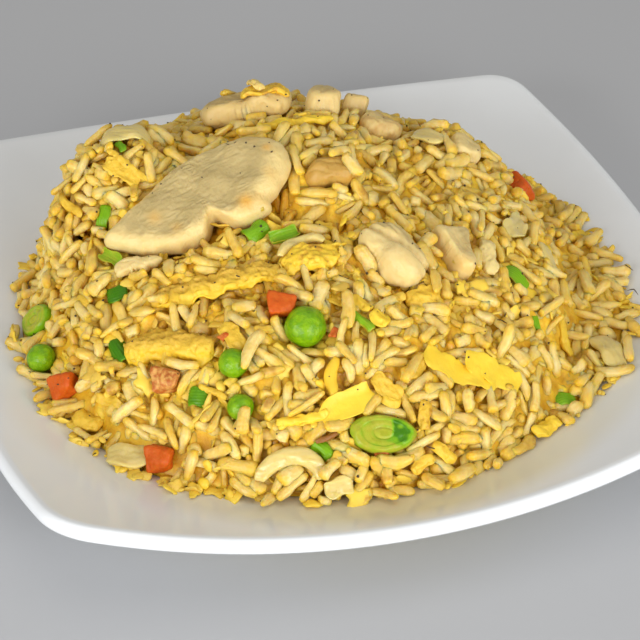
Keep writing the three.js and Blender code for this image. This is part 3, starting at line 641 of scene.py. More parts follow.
def strip(at, size, bend=0.0, arch=0.0, cup=0.0, ruffle=0.3, ragged=0.0, cells=5.0, tip=4.0):
    """A soft strip in its own frame. Its width falls to its ends with the root of 1 less three
    quarters of a power, tip, of the way and has slow waves, its edges lift by cup, the whole is
    waved by ruffle and its middle line is an arc in its own plane, by bend, or down out of it, by
    arch. Ragged edges are a cloud along the length, cells is the number of points in a millimetre.
    With the points and faces come how near each point is to the edge, 0 to 1, and how far it is
    from the front to the back, -1 to 1."""
    length, width, thick = size
    u, v, side, faces = two_faces(round(width * cells), round(length * cells))
    u, v = np.sin(u * np.pi / 2), np.sin(v * np.pi / 2)
    s = u * length / 2
    phase = phase_of(at, 0)
    torn = 0.17 + 0.05 * np.sin(phase_of(at, 1))
    taper = np.sqrt(1 - 0.75 * np.abs(u) ** tip)
    edge_place = np.stack([s, np.sign(v) * 9, 0 * s], axis=-1)
    tears = cloud(edge_place, 1.9, 2) + 0.5 * cloud(edge_place, 0.8, 3)
    rough = 1 + ragged * np.abs(v) ** 3 * tears
    across = v * width / 2 * taper * rough * (1 + torn * np.sin(3.5 * u + 1.7 * v + phase))
    body = thick / 2 * (1 - 0.35 * v**2) * (1 - 0.3 * u**4)
    body = body * np.sqrt(1 - np.abs(v) ** 6) * np.sqrt(1 - u**10)
    wave = ruffle * np.sin(2 * np.pi * s / RUFFLE_LENGTH + phase) * (0.4 + 0.6 * v**2)
    up = side * body + wave + cup * v**2
    lean = np.radians(bend) / length * s
    dip = np.radians(arch) / length * s
    rate = np.radians(bend or arch) / length
    forward = np.sin(rate * s) / rate if rate else s
    aside = (1 - np.cos(rate * s)) / rate if rate else 0 * s
    x = forward - across * np.sin(lean) + up * np.sin(dip)
    y = across * np.cos(lean) + (aside if bend else 0)
    z = up * np.cos(dip) - (aside if arch else 0)
    return np.stack([x, y, z], axis=-1), faces, np.maximum(np.abs(v), u**2), v


egg = Finish(
    "egg", Subsurface_Weight=0.25, Subsurface_Radius=(1.0, 0.7, 0.15), Subsurface_Scale=0.0012
)
curd = egg.mottled(2.2, 3, (0.60, 0.34, 0.02), (0.76, 0.49, 0.055))
yolk = egg.mottled(4, 2, (0.91, 0.57, 0.02), (0.93, 0.67, 0.05))
bright = egg.kept("bright")
yellow = egg.blend(bright, curd, yolk)
white = egg.blend(egg.kept("pale"), yellow, (0.84, 0.66, 0.26))
toast = (egg.noise(2.6, 3) + 0.1 * egg.kept("brown")).above(0.58, 0.78) * egg.kept("brown")
toast = toast + egg.noise(5, 3).above(0.62, 0.8) * 0.3
crust = egg.blend(egg.kept("brown").above(1.5, 2.5), (0.55, 0.27, 0.015), (0.28, 0.11, 0.012))
egg.wear(
    Base_Color=egg.blend(toast, white, crust),
    Roughness=0.36 + 0.25 * egg.noise(1.5, 2),
    Normal=egg.bump(egg.noise(0.6, 3) * (1 - 0.8 * bright), 0.3),
)
for number, own in enumerate(EGG):
    ragged = TORN_WIDE if "node" in own else TORN_SMALL
    torn = {"ragged": ragged, **WHOLE_STRIP, **own}
    shape = {key: torn[key] for key in STRIP_KEYS if key in torn}
    points, faces, edge, back = strip(torn["at"], torn["size"], **shape)
    pores = np.maximum(0, cloud(points, PORE_SIZE, 5) - 0.3) * 1.2
    folds = 0.5 - 1.6 * np.abs(cloud(points / (2.4, 0.8, 1.0), FOLD_SIZE, 6))
    folds = folds + 0.5 * cloud(points, 0.9, 7)
    swell = torn["crumple"] * (0.6 * folds - pores) * (1 - edge**6)
    points = raised(points, faces, swell)
    looks = {key: np.full(len(points), torn.get(key, 0.0)) for key in ("bright", "brown", "pale")}
    looks["bright"] = looks["bright"] + torn["front"] * np.clip(0.2 - 0.9 * back, 0, 1)
    serve(torn, points, faces, "egg", egg, f"egg_bit_{number}", **looks)

# Peas: four garden peas, boiled from frozen. Each is a ball, a little flat, whose thin wet skin has
# drawn into low wrinkles.
PEA_FLATNESS = 0.94
WRINKLE_SIZE = 1.7
PEAS = [
    topping("pea_big", -14, -42.3, 0, 1.8, 9.8, 9.8, 9.8),
    topping("pea_left", -70.3, -12.5, 0, 2.2, 7.2, 7.2, 7.2),
    topping("pea_middle", -31.5, -46, 0, 0.8, 7.0, 7.0, 7.0),
    topping("pea_low", -32, -54.5, 0, 0.4, 6.2, 6.2, 6.2),
]


def ball(rows, columns):
    """A unit ball: rings of points round X from one pole to the other, the poles last, and the
    faces between them."""
    turn = np.linspace(0, np.pi, rows + 2)[1:-1, None]
    around = np.linspace(0, 2 * np.pi, columns, endpoint=False)
    rings = np.stack([
        -np.cos(turn) * np.ones(columns),
        np.sin(turn) * np.cos(around),
        np.sin(turn) * np.sin(around),
    ], axis=-1)
    grid = number_grid(rows, columns)
    points = np.concatenate([rings.reshape(-1, 3), [[-1, 0, 0], [1, 0, 0]]])
    poles = [fan(grid.size, grid[0, ::-1]), fan(grid.size + 1, grid[-1])]
    return points, [quads(grid[::-1], around=True), *poles]


pea_skin = Finish(
    "pea skin", Specular_IOR_Level=0.25, Coat_Weight=0.18, Coat_Roughness=0.08,
    Subsurface_Weight=0.2, Subsurface_Radius=(0.4, 1.0, 0.1), Subsurface_Scale=0.0015,
)
ridges = 1 - 6 * abs(pea_skin.noise(1.8, 3) - 0.5)
mottling = pea_skin.noise(1.6, 3).above(0.35, 0.7)
pea_skin.wear(
    Base_Color=pea_skin.blend(mottling, (0.14, 0.32, 0.001), (0.24, 0.44, 0.002)),
    Roughness=0.24 + 0.2 * pea_skin.noise(1, 3),
    Normal=pea_skin.bump(ridges, 0.12),
)
for pea in PEAS:
    points, faces = ball(46, 60)
    phase = phase_of(pea["at"], 0)
    radius = pea["size"][0] / 2
    x, y, z = radius * points.T
    dent = 1 - 0.025 * (1 + np.sin(1.1 * x + phase) * np.cos(y))
    points = np.stack([x, y, PEA_FLATNESS * z], axis=-1) * dent[:, None]
    wrinkles = 1 - 2.4 * np.abs(cloud(points / (1.0, 1.6, 1.0), WRINKLE_SIZE, round(radius * 10)))
    points = points * (1 + 0.006 * wrinkles[:, None])
    serve(pea, points, faces, "pea", pea_skin)

# Carrot: five dice and three small bits of cooked carrot, cut by machine and gone soft at their
# corners, one of the dice browned in the pan.
CARROTS = [
    topping("carrot_left", -66.5, -24.5, -35, 2, 7, 6, 5.2, roll=18),
    topping("carrot_front", -49.8, -54.5, -35, 2, 6.2, 6, 5.6, roll=12),
    topping("carrot_middle", -18.2, -36.5, -17, 1.2, 6.2, 5.8, 5.8, roll=10),
    topping("carrot_right", 56, 12.5, 5, 2.2, 8, 5.6, 5, roll=-10),
    topping("carrot_browned", -46.3, -41.8, -31, 0.8, 6.2, 5.6, 4.8, roll=14, brown=1.0),
    topping(None, -32.1, -40.2, 20, 1, 2.4, 1.8, 1.6, roll=5, brown=0.3),
    topping(None, -4, -70.4, -15, 0.8, 3.2, 2.2, 1.8, roll=5, brown=0.4),
    topping(None, -7.8, -45.7, 50, 0.8, 2.6, 2, 1.8, roll=5, brown=0.3),
]
BOXINESS = 7.0
carrot_flesh = Finish(
    "carrot flesh", Specular_IOR_Level=0.25,
    Subsurface_Weight=0.25, Subsurface_Radius=(1.0, 0.3, 0.1), Subsurface_Scale=0.0015,
)
flesh = carrot_flesh.mottled(1.5, 3, (0.52, 0.065, 0.001), (0.64, 0.14, 0.012))
patches = carrot_flesh.noise(1.2, 3).above(0.35, 0.68)
browned = carrot_flesh.blend(patches, (0.46, 0.13, 0.025), (0.70, 0.38, 0.10))
carrot_flesh.wear(
    Base_Color=carrot_flesh.blend(carrot_flesh.kept("brown"), flesh, browned),
    Roughness=0.3 + 0.25 * carrot_flesh.noise(1, 3),
    Normal=carrot_flesh.bump(carrot_flesh.noise(0.5, 3), 0.15),
)
for number, die in enumerate(CARROTS):
    points, faces = ball(60, 72)
    reach = (np.abs(points) ** BOXINESS).sum(axis=1) ** (-1 / BOXINESS)
    x, y, z = points.T * reach
    corner = np.abs(x) + np.abs(y) + np.abs(z) - 1
    waves = np.sin(phase_of(die["at"], 0) + 1.9 * x + 2.3 * y + 2.9 * z)
    soft = (1 - 0.05 * corner) * (1 + 0.06 * waves)
    block = np.stack([x * (1 + 0.12 * z + 0.1 * y), y * (1 - 0.22 * x), z], axis=-1) * soft[:, None]
    block = block * np.array(die["size"]) / 2
    rough = 0.4 * cloud(block, 2.4, 4) + 0.12 * cloud(block, 0.7, 5)
    block = block + rough[:, None] * points
    brown = np.full(len(block), die.get("brown", 0.0))
    serve(die, block, faces, "carrot", carrot_flesh, f"carrot_bit_{number}", brown=brown)

# Scallion: two slanting cuts through the stem, with the rings of its leaves, and bits of the green
# leaf, cut by hand. The leaf is a thin, wet tube that curls where it is cut open.
SCALLION_CUTS = [
    topping("scallion_slice", -2.5, -67, -11, 1.4, 15, 8.8, 3.4, green_end=1.0, green_rim=0.1),
    topping("scallion_disc", -69.5, 1.5, -35, 1.6, 10.5, 7.8, 3, green_end=0.0, green_rim=0.6),
]
SCALLION_BITS = [
    topping("scallion_right", 41.5, -29.5, -47, 0.6, 8, 4.4, 1.1, arch=70, dark=0.35),
    topping("scallion_low", 45.5, -56, 0, 0.6, 5.8, 4.2, 1.2, arch=60, dark=0.5),
    topping("scallion_tube", -55.3, -28.6, -76, 0.6, 6.8, 4.4, 1.1, cup=-1.6, dark=1.0),
    topping("scallion_top_left", -18.5, -13.5, 21, 0.6, 6.2, 5, 1.1, cup=-1.6, dark=0.5),
    topping("scallion_top_right", -12.5, -17.2, 11, 0.6, 7.2, 4, 1, cup=1.4, dark=0.28),
    topping("scallion_pale", -51.5, -5, -60, 0.6, 7, 3.2, 1.2, cup=1.2, dark=0.15),
    topping(None, -52.5, -14, -15, 0.6, 5.6, 4.2, 1.2, arch=70, dark=1.0),
    topping(None, -1, -44.5, -60, 0.6, 6.8, 2.4, 1.2, cup=-0.6, dark=0.25),
    topping(None, -40.5, -48.5, -29, 0.6, 4.8, 4.4, 1.2, arch=60, dark=0.75),
    topping(None, -16.5, -67.5, -40, 0.6, 5.2, 3.2, 1.1, cup=-0.8, dark=0.5),
    topping(None, -51.5, 6.5, -120, 0.6, 6, 3.2, 1.1, arch=60, dark=0.45),
    topping(None, 42.8, -40.1, -85, 0.6, 3.6, 2, 1, dark=0.35),
    topping(None, -44.5, 19, -77, 0.6, 3.8, 2, 1, dark=0.6),
    topping(None, -50.5, 40, -60, 0.6, 4.2, 2.4, 1, arch=50, dark=0.5),
]
RINGS = (0.36, 0.7)
RING_WIDTH = 0.05
CUT_PROFILE = [
    (0.0, 0.4), (0.2, 0.42), (0.3, 0.36), (0.36, 0.42), (0.5, 0.46), (0.66, 0.44), (0.72, 0.48),
    (0.88, 0.44), (0.98, 0.22), (1.0, 0.0), (0.95, -0.3), (0.85, -0.5), (0.0, -0.5),
]
leaf = Finish(
    "scallion leaf", Specular_IOR_Level=0.25, Coat_Weight=0.08, Coat_Roughness=0.12,
    Subsurface_Weight=0.2, Subsurface_Radius=(0.6, 1.0, 0.2), Subsurface_Scale=0.0012,
)
shade = leaf.kept("dark") + 0.4 * (leaf.noise(2.0, 3) - 0.5)
heart = leaf.mottled(1.5, 2, (0.34, 0.34, 0.008), (0.49, 0.46, 0.05))
fresh = leaf.blend(shade.above(-0.1, 0.35), heart, (0.20, 0.42, 0.006))
leaf.wear(
    Base_Color=leaf.blend(shade.above(0.35, 1.0), fresh, (0.05, 0.19, 0.001)),
    Roughness=0.25 + 0.2 * leaf.noise(1, 2),
    Normal=leaf.bump(leaf.noise(0.7, 2), 0.12),
)
for cut in SCALLION_CUTS:
    length, width, thick = cut["size"]
    corners = np.array(CUT_PROFILE)
    steps = np.linspace(0, len(corners) - 1, 60)[1:-1]
    radius = np.interp(steps, np.arange(len(corners)), corners[:, 0])
    height = np.interp(steps, np.arange(len(corners)), corners[:, 1]) * thick
    around = np.linspace(0, 2 * np.pi, 72, endpoint=False)
    x = radius[:, None] * np.cos(around) * (length / 2) * (1 + 0.04 * np.sin(3 * around))
    y = radius[:, None] * np.sin(around) * (width / 2) * (1 - 0.13 * np.cos(around))
    rings = np.stack([x, y, height[:, None] + 0 * x], axis=-1).reshape(-1, 3)
    middles = [[0, 0, corners[0, 1] * thick], [0, 0, corners[-1, 1] * thick]]
    points = np.concatenate([rings, middles])
    faces = capped(number_grid(len(radius), len(around)))
    points = raised(points, faces, 0.22 * cloud(points, 1.5, 3))
    share = np.hypot(points[:, 0] * 2 / length, points[:, 1] * 2 / width)
    rim = np.clip((share - 0.8) * 4, 0, 1) * cut["green_rim"]
    end = points[:, 0] * 2 / length + 0.5 * cloud(points, 2.2, 6) - 0.3
    end = np.clip(4 * end, 0, 1) * np.clip(5 * (0.93 - share), 0, 1) * cut["green_end"]
    rings = sum(np.exp(-(((share - ring) / RING_WIDTH) ** 2)) for ring in RINGS)
    dark = np.maximum(rim, end * (0.7 + 0.5 * cloud(points, 1.0, 8))) + 0.12 * rings
    serve(cut, points, faces, "scallion", leaf, dark=dark)
for number, bit in enumerate(SCALLION_BITS):
    shape = {key: bit[key] for key in STRIP_KEYS if key in bit}
    strip_looks = {"ruffle": 0.15, "cells": 7.0, "tip": 16.0, **shape}
    points, faces, edge = strip(bit["at"], bit["size"], **strip_looks)[:3]
    ribs = 0.08 * np.cos(points[:, 1] * 9) * (1 - edge**6)
    points = raised(points, faces, ribs)
    dark = bit["dark"] - 0.4 * (edge > 0.93)
    serve(bit, points, faces, "scallion", leaf, f"scallion_bit_{number}", dark=dark)

# Cabbage and onion: nine shreds, cooked until they are glassy. Each is a thin curved slip of leaf
# or of onion ring, wet with oil, that lets the light and the colour of the rice through.
CABBAGE = [
    topping("cabbage_front_left", -57, -51.5, -20, 1.6, 11, 6.4, 2.6, cup=0.8),
    topping("cabbage_tall", 55.5, -16.5, 100, 0.8, 14, 4.8, 1.8, bend=15),
    topping("cabbage_middle", 47, -11, 50, 0.6, 10.5, 6, 1.8, cup=0.8),
    topping("cabbage_edge", 62, -42, -80, 1.4, 12, 6.4, 2.4, arch=30),
    topping("cabbage_front", -14.5, -73.5, -7, 1.2, 6.5, 4.4, 2.2, cup=1.0),
    topping("cabbage_back", 32.5, 14, -40, 0.7, 8.5, 5.6, 2, cup=0.6),
    topping("cabbage_arch", -43, 23.5, -14, 2, 15, 6.5, 1.6, arch=110),
    topping("onion_arc", -23.5, -66.5, -16, 1.3, 19, 4.2, 3, bend=-150),
    topping("onion_curl", -10, -20.5, 8, 1.4, 13, 2.6, 2.2, bend=-110),
]
glassy = Finish(
    "cabbage and onion", Coat_Weight=0.4, Coat_Roughness=0.12,
    Subsurface_Weight=1.0, Subsurface_Radius=(1.0, 0.85, 0.45), Subsurface_Scale=0.002,
)
glassy.wear(
    Base_Color=glassy.mottled(3, 3, (0.66, 0.51, 0.14), (0.77, 0.63, 0.26)),
    Roughness=0.22 + 0.2 * glassy.noise(1.5, 2),
    Normal=glassy.bump(glassy.noise(0.8, 2), 0.12),
)
for shred in CABBAGE:
    shape = {key: shred[key] for key in STRIP_KEYS if key in shred}
    points, faces, edge = strip(shred["at"], shred["size"], ragged=0.05, **shape)[:3]
    wander = points[:, 1] + 0.8 * cloud(points, 3.0, 9)
    veins = 0.05 * np.cos(4 * wander) + 0.25 * cloud(points, 2.5, 8)
    points = raised(points, faces, veins * (1 - edge**6))
    serve(shred, points, faces, "cabbage", glassy)

# Rice on top: the grains that stand out among the toppings at the front. Each is a cooked long
# grain, swollen, a little bent and flat, with blunt ends, boiled and then fried in oil. Nothing
# that falls later lies on the toppings.
TOP_GRAINS = [
    (-41.6, -30.4, -105, 9.4), (-38.8, -30.3, -74, 6.6), (-27.3, -45.4, -131, 10.5),
    (-56.1, -18.4, -113, 8.5), (-58.3, -22.8, -49, 10), (-52.8, -38.9, -74, 6.6),
    (-43.7, -24.3, -35, 5.3), (-28.5, -32.5, -62, 7.2), (-26.2, -34.7, -8, 5.7),
    (-4.8, -15.7, -11, 8), (-4, -10.8, 27, 7.7), (-3.5, -41.5, -103, 10), (-7.4, -44.2, -30, 5.5),
    (-6, -52.2, -109, 7), (-2.7, -52.2, -107, 6), (6.8, -55.2, -127, 9.2), (16.4, -44.7, -41, 7.6),
    (6.5, -49.6, -13, 5.4), (-18.9, -47.1, -40, 6.5), (37.9, -45.2, -133, 9.5),
    (29.2, -41.9, -12, 5.8), (36.2, -39.2, -49, 5.7), (30, -33.7, 21, 8.9), (39.6, -51.9, -92, 6.7),
    (36.1, -49.7, -134, 6.5), (-17.4, -57.5, 3, 6.9), (0.5, -62.7, -21, 8.8), (14.6, -62.3, -92, 6),
    (18, -62.2, -83, 5.8), (9.1, -60.9, 5, 9.1), (-1, -75.7, -5, 6.7), (6.4, -75.5, -10, 6.4),
    (-15.9, -70.8, -156, 6), (-11.8, -72, -46, 5.2), (-8.9, -72.4, -128, 6),
    (11.2, -21.1, -82, 9.5), (5.5, -12.2, 39, 7.5), (16, -15.5, -20, 7), (30, -16, -40, 7),
    (-31.5, -57.6, -132, 6.5), (-35, -57, -75, 6), (8.8, -24.9, -75, 6.4), (18.5, -36.1, -100, 7.5),
    (21.3, -36.8, -90, 5.5), (-7.1, -54.5, -84, 6), (-39.7, -55, -48, 7), (0.7, -1.7, -11, 6.4),
    (6.4, -2.4, -60, 7), (4.5, 1.8, 18, 6.6), (9.7, 1.6, -32, 5.4),
    (-2, 13, 10, 8), (-24, 22, 25, 7), (-12, 36, 60, 7), (4, 33, 100, 6.5), (24, 26, -30, 6),
]
GRAIN_WIDTH = 2.7
GRAIN_FLATNESS = 0.8
END_POWERS = (4, 12)
GRAIN_BEND = 0.05
GRAIN_ROWS = 7
GRAIN_SIDES = 8
PACKING = 0.66
PILE_SQUARE = 8.0
SURFACE_STEP = 1.2
SURFACE_BALL = 0.35
BARE_RISES = [1.5, 3.0]
BALL_PLACES = np.array([-0.36, -0.12, 0.12, 0.36])
BALL_SIZES = np.array([0.38, 0.45, 0.45, 0.38])
DEEPEST = -5.2
TOP_CAP = 12.0
TOP_SPREAD = 8.0
LAY_STEP = 0.25
WAYS = 11


class Pile:
    """Balls that fill what already lies on the plate, kept by the square of the plan that they
    are in, so that only those near a place are looked at."""

    def __init__(self):
        self.squares = {}

    def add(self, centres, radii):
        keys = np.floor(centres[:, :2] / PILE_SQUARE).astype(int)
        for key, ball in zip(keys.tolist(), np.column_stack([centres, radii])):
            self.squares.setdefault(tuple(key), []).append(ball)

    def near(self, place, normal, reach):
        """The balls whose centres are within reach of the line through place along normal."""
        i, j = np.floor(place[:2] / PILE_SQUARE).astype(int)
        keys = [(i + di, j + dj) for di in (-1, 0, 1) for dj in (-1, 0, 1)]
        balls = np.array([ball for key in keys for ball in self.squares.get(key, [])])
        balls = balls.reshape(-1, 4)
        away = balls[:, :3] - place
        aside = away - (away @ normal)[:, None] * normal
        return balls[(aside**2).sum(axis=1) < reach**2]


def settle(pile, place, normal, length, width, low, cap, draw, heading=None, spread=22.0):
    """Lays a grain at a place of the heap as low as it goes. Its four balls lie along its
    length. For each way to point it, a ball of the pile whose centre is at up along the normal
    and aside from it bars the heights within up +- sqrt(reach^2 - aside^2). The lowest height
    from low to cap that nothing bars is taken, of all ways."""
    turns = np.full(WAYS, np.radians(heading or 0))
    if heading is None:
        turns = draw.uniform(0, 2 * np.pi, WAYS)
    tilts = np.radians(draw.normal(0, spread, WAYS))
    first = np.cross([0, 1, 0], normal)
    first /= np.linalg.norm(first)
    second = np.cross(normal, first)
    flat = np.cos(turns)[:, None] * first + np.sin(turns)[:, None] * second
    along = np.cos(tilts)[:, None] * flat + np.sin(tilts)[:, None] * normal
    balls = place + (BALL_PLACES * length)[:, None] * along[:, None, :]
    radii = BALL_SIZES * width
    under = dish_height(np.hypot(balls[..., 0], balls[..., 1])) + radii
    lowest = ((under - balls[..., 2]) / normal[2]).max(axis=1)
    near = pile.near(place, normal, BALL_PLACES[-1] * length + 0.9 * width)
    gap = near[:, :3] - balls[:, :, None, :]
    up = gap @ normal
    aside = (gap**2).sum(axis=-1) - up**2
    reach = PACKING * (radii[:, None] + near[:, 3])
    half = np.sqrt(np.maximum(0, reach**2 - aside)).reshape(WAYS, -1, 1)
    heights = np.arange(low, cap, LAY_STEP)
    barred = (np.abs(heights - up.reshape(WAYS, -1, 1)) < half).any(axis=1)
    clear = ~barred & (heights >= lowest[:, None])
    if not clear.any():
        return None
    first_clear = np.where(clear.any(axis=1), clear.argmax(axis=1), len(heights))
    best = first_clear.argmin()
    height = heights[first_clear[best]]
    pile.add(balls[best] + height * normal, radii)
    return place + height * normal, along[best], height


def repeated(faces, count, points_each):
    """The faces of one shape for count copies of its points, one after the other."""
    shift = points_each * np.arange(count)[:, None, None]
    return [(part + shift).reshape(-1, part.shape[1]) for part in faces]


def crosswise(along, draw):
    """Two unit vectors for each direction, square to it and to each other, turned at random."""
    first = np.cross(along, draw.normal(size=along.shape))
    first /= np.linalg.norm(first, axis=1, keepdims=True)
    return first, np.cross(along, first)


pile = Pile()
surface = np.concatenate(food)
surface = surface[np.unique(np.round(surface / SURFACE_STEP), axis=0, return_index=True)[1]]
pile.add(surface, np.full(len(surface), SURFACE_BALL))


def grain_meshes(centres, along, lengths, widths, draw):
    """Points and faces of many grains. Each is a unit ball drawn out to its length. Its girth
    falls with the root of 1 less a power of the way to the end, from 4 to 12, is smaller at one
    end, and has slow waves, three low ridges and the dents of a cloud. Its middle line is bent to
    one side by the square of the way. Core is 1 less the fourth power of the way, times a cloud."""
    ball_points, faces = ball(GRAIN_ROWS, GRAIN_SIDES)
    way = ball_points[:, 0]
    around = np.arctan2(ball_points[:, 2], ball_points[:, 1])
    first, second = crosswise(along, draw)
    count = len(centres)
    girth = np.sqrt(1 - np.abs(way) ** draw.uniform(*END_POWERS, (count, 1)))
    phase = draw.uniform(0, 2 * np.pi, (4, count, 1))
    bent = draw.normal(0, GRAIN_BEND, (count, 1)) * lengths[:, None]
    waves = 1 + 0.07 * np.sin(3 * way + phase[0]) + 0.08 * np.sin(2 * around + phase[1])
    waves = waves + 0.05 * np.sin(3 * around + phase[3])
    waves = waves * (1 + 0.15 * way * np.sin(phase[2]))
    radius = girth * waves * widths[:, None] / 2
    x = way * lengths[:, None] / 2
    y = radius * np.cos(around) + bent * (way**2 - 0.35)
    z = radius * np.sin(around) * GRAIN_FLATNESS
    points = centres[:, None] + x[..., None] * along[:, None]
    out = y[..., None] * first[:, None] + z[..., None] * second[:, None]
    place = points.reshape(-1, 3) + out.reshape(-1, 3)
    dents = 1 + 0.28 * cloud(place, 2.2, 9) + 0.2 * cloud(place, 0.9, 10)
    dents = dents.reshape(count, -1, 1)
    points = (points + out * dents).reshape(-1, 3)
    core = (1 - np.tile(way**4, count)) * (0.75 + 0.35 * cloud(place, 2.2, 11))
    return points, repeated(faces, count, len(ball_points)), core


rice = Finish(
    "rice", Specular_IOR_Level=0.3, Coat_Weight=0.25, Coat_Roughness=0.14,
    Subsurface_Weight=1.0, Subsurface_Radius=(1.0, 0.75, 0.4), Subsurface_Scale=0.0016,
)
amber = rice.mottled(2.5, 2, (0.66, 0.41, 0.02), (0.76, 0.52, 0.06))
pale = rice.mottled(2.5, 2, (0.76, 0.58, 0.18), (0.84, 0.69, 0.33))
cored = rice.kept("core") * (1 - 0.8 * rice.kept("tone")) + 0.5 * (rice.noise(1.5, 2) - 0.5)
colour = rice.blend(cored.above(0.0, 0.95), amber, pale)
eggy = rice.noise(3.5, 3).above(0.5, 0.72) * 0.65
colour = rice.blend(eggy, colour, (0.86, 0.56, 0.05))
# Painted shade: grains that lie deep in the heap turn brown, for the warm shade between the grains.
colour = rice.blend(rice.kept("painted_gap_shade"), colour, (0.57, 0.27, 0.004))
fried = rice.noise(4, 3).above(0.5, 0.75) * rice.kept("fried")
rice.wear(
    Base_Color=rice.blend(fried, colour, (0.42, 0.19, 0.02)),
    Roughness=0.3 + 0.25 * rice.noise(1.2, 2),
    Normal=rice.bump(rice.noise(0.8, 3), 0.3),
)
draw = np.random.default_rng(7)
places = np.array([(x, y, heap_height(x, y)) for x, y, turn, length in TOP_GRAINS])
normals = heap_normal(places[:, 0], places[:, 1])
laid = []
for place, normal, (x, y, turn, length) in zip(places, normals, TOP_GRAINS):
    found = settle(pile, place, normal, length, GRAIN_WIDTH, 0.0, TOP_CAP, draw, turn, TOP_SPREAD)
    laid.append((*found[:2], length))
for rise in BARE_RISES:
    pile.add(surface + rise * heap_normal(*surface[:, :2].T), np.full(len(surface), SURFACE_BALL))
centres, along, lengths = (np.array(part) for part in zip(*laid))
widths = GRAIN_WIDTH * draw.uniform(0.95, 1.15, len(laid))
points, faces, core = grain_meshes(centres, along, lengths, widths, draw)
tone = np.repeat(draw.uniform(0, 0.5, len(laid)), len(points) // len(laid))
looks = {"tone": tone, "fried": 0.3 * tone, "core": core, "painted_gap_shade": 0 * tone}
make_piece("rice_on_top", points, faces, "rice", rice, **looks)
food.append(points)

# Egg crumbs: hundreds of soft bits of scrambled egg, broken off in the pan and left between the
# grains: torn flakes of 3 to 7 mm and crumbs of 1.2 to 3.2 mm. Each lies as low as its neighbours
# let it, and they come in drifts, as the egg broke up where it lay.
CRUMB_KINDS = [
    {"name": "egg_flakes", "count": 420, "sizes": (3.0, 7.0), "thin": 0.28, "low": -1.8, "cap": 1.4,
     "mesh": (7, 10)},
    {"name": "egg_crumbs", "count": 500, "sizes": (1.2, 3.2), "thin": 0.6, "low": -2.5, "cap": 0.8,
     "mesh": (5, 9)},
]
WIDTH_SHARES = (0.55, 0.9)
TEAR = 0.55
CURL = 0.55
CLOUD_GAP = 40.0
DRIFT = 17.0
EDGE_SPILL = 1.5
HOLLOWS = np.array([
    (-21.9, -33.2), (-33.5, -32.6), (21.6, -41), (-46.8, -7.2), (-6.5, -8.5), (14.8, 3.7),
    (-65.9, -15.4), (-26.9, -9.7), (-48.4, -8.8), (-42.0, -11.3), (-35.3, -12.9), (-29.2, -12.1),
    (-20.1, -13.4), (-14.6, -12.3), (-11.0, -8.5), (-8.1, -4.3), (20.5, -33), (-4.7, -10.8),
    (-0.2, -12), (3, -16), (-4.5, -17.8), (-44.4, -24.4), (-38.7, -26),
])
HOLLOW_DEPTH = 3.0
HOLLOW_WIDTH = 3.2


def scatter(count, draw):
    """Places on the heap, drawn evenly over its surface, with their normals."""
    reach = EDGE_RADIUS + EDGE_SPILL + 3
    x, y = draw.uniform(-reach, reach, (2, 4 * count))
    room = edge_radius(np.arctan2(y, x)) + EDGE_SPILL
    normal = heap_normal(x, y)
    kept = (np.hypot(x, y) < room) & (draw.uniform(0, 0.45, x.size) < 0.25 / normal[:, 2])
    kept = np.flatnonzero(kept)[:count]
    x, y = x[kept], y[kept]
    return np.stack([x, y, heap_height(x, y)], axis=-1), normal[kept]


def depth_limit(place, cap):
    """How high a grain may lie at a place: the cap, less at the hollows."""
    away = ((HOLLOWS - place[:2]) ** 2).sum(axis=1) / HOLLOW_WIDTH**2
    return cap - HOLLOW_DEPTH * np.exp(-away).sum()


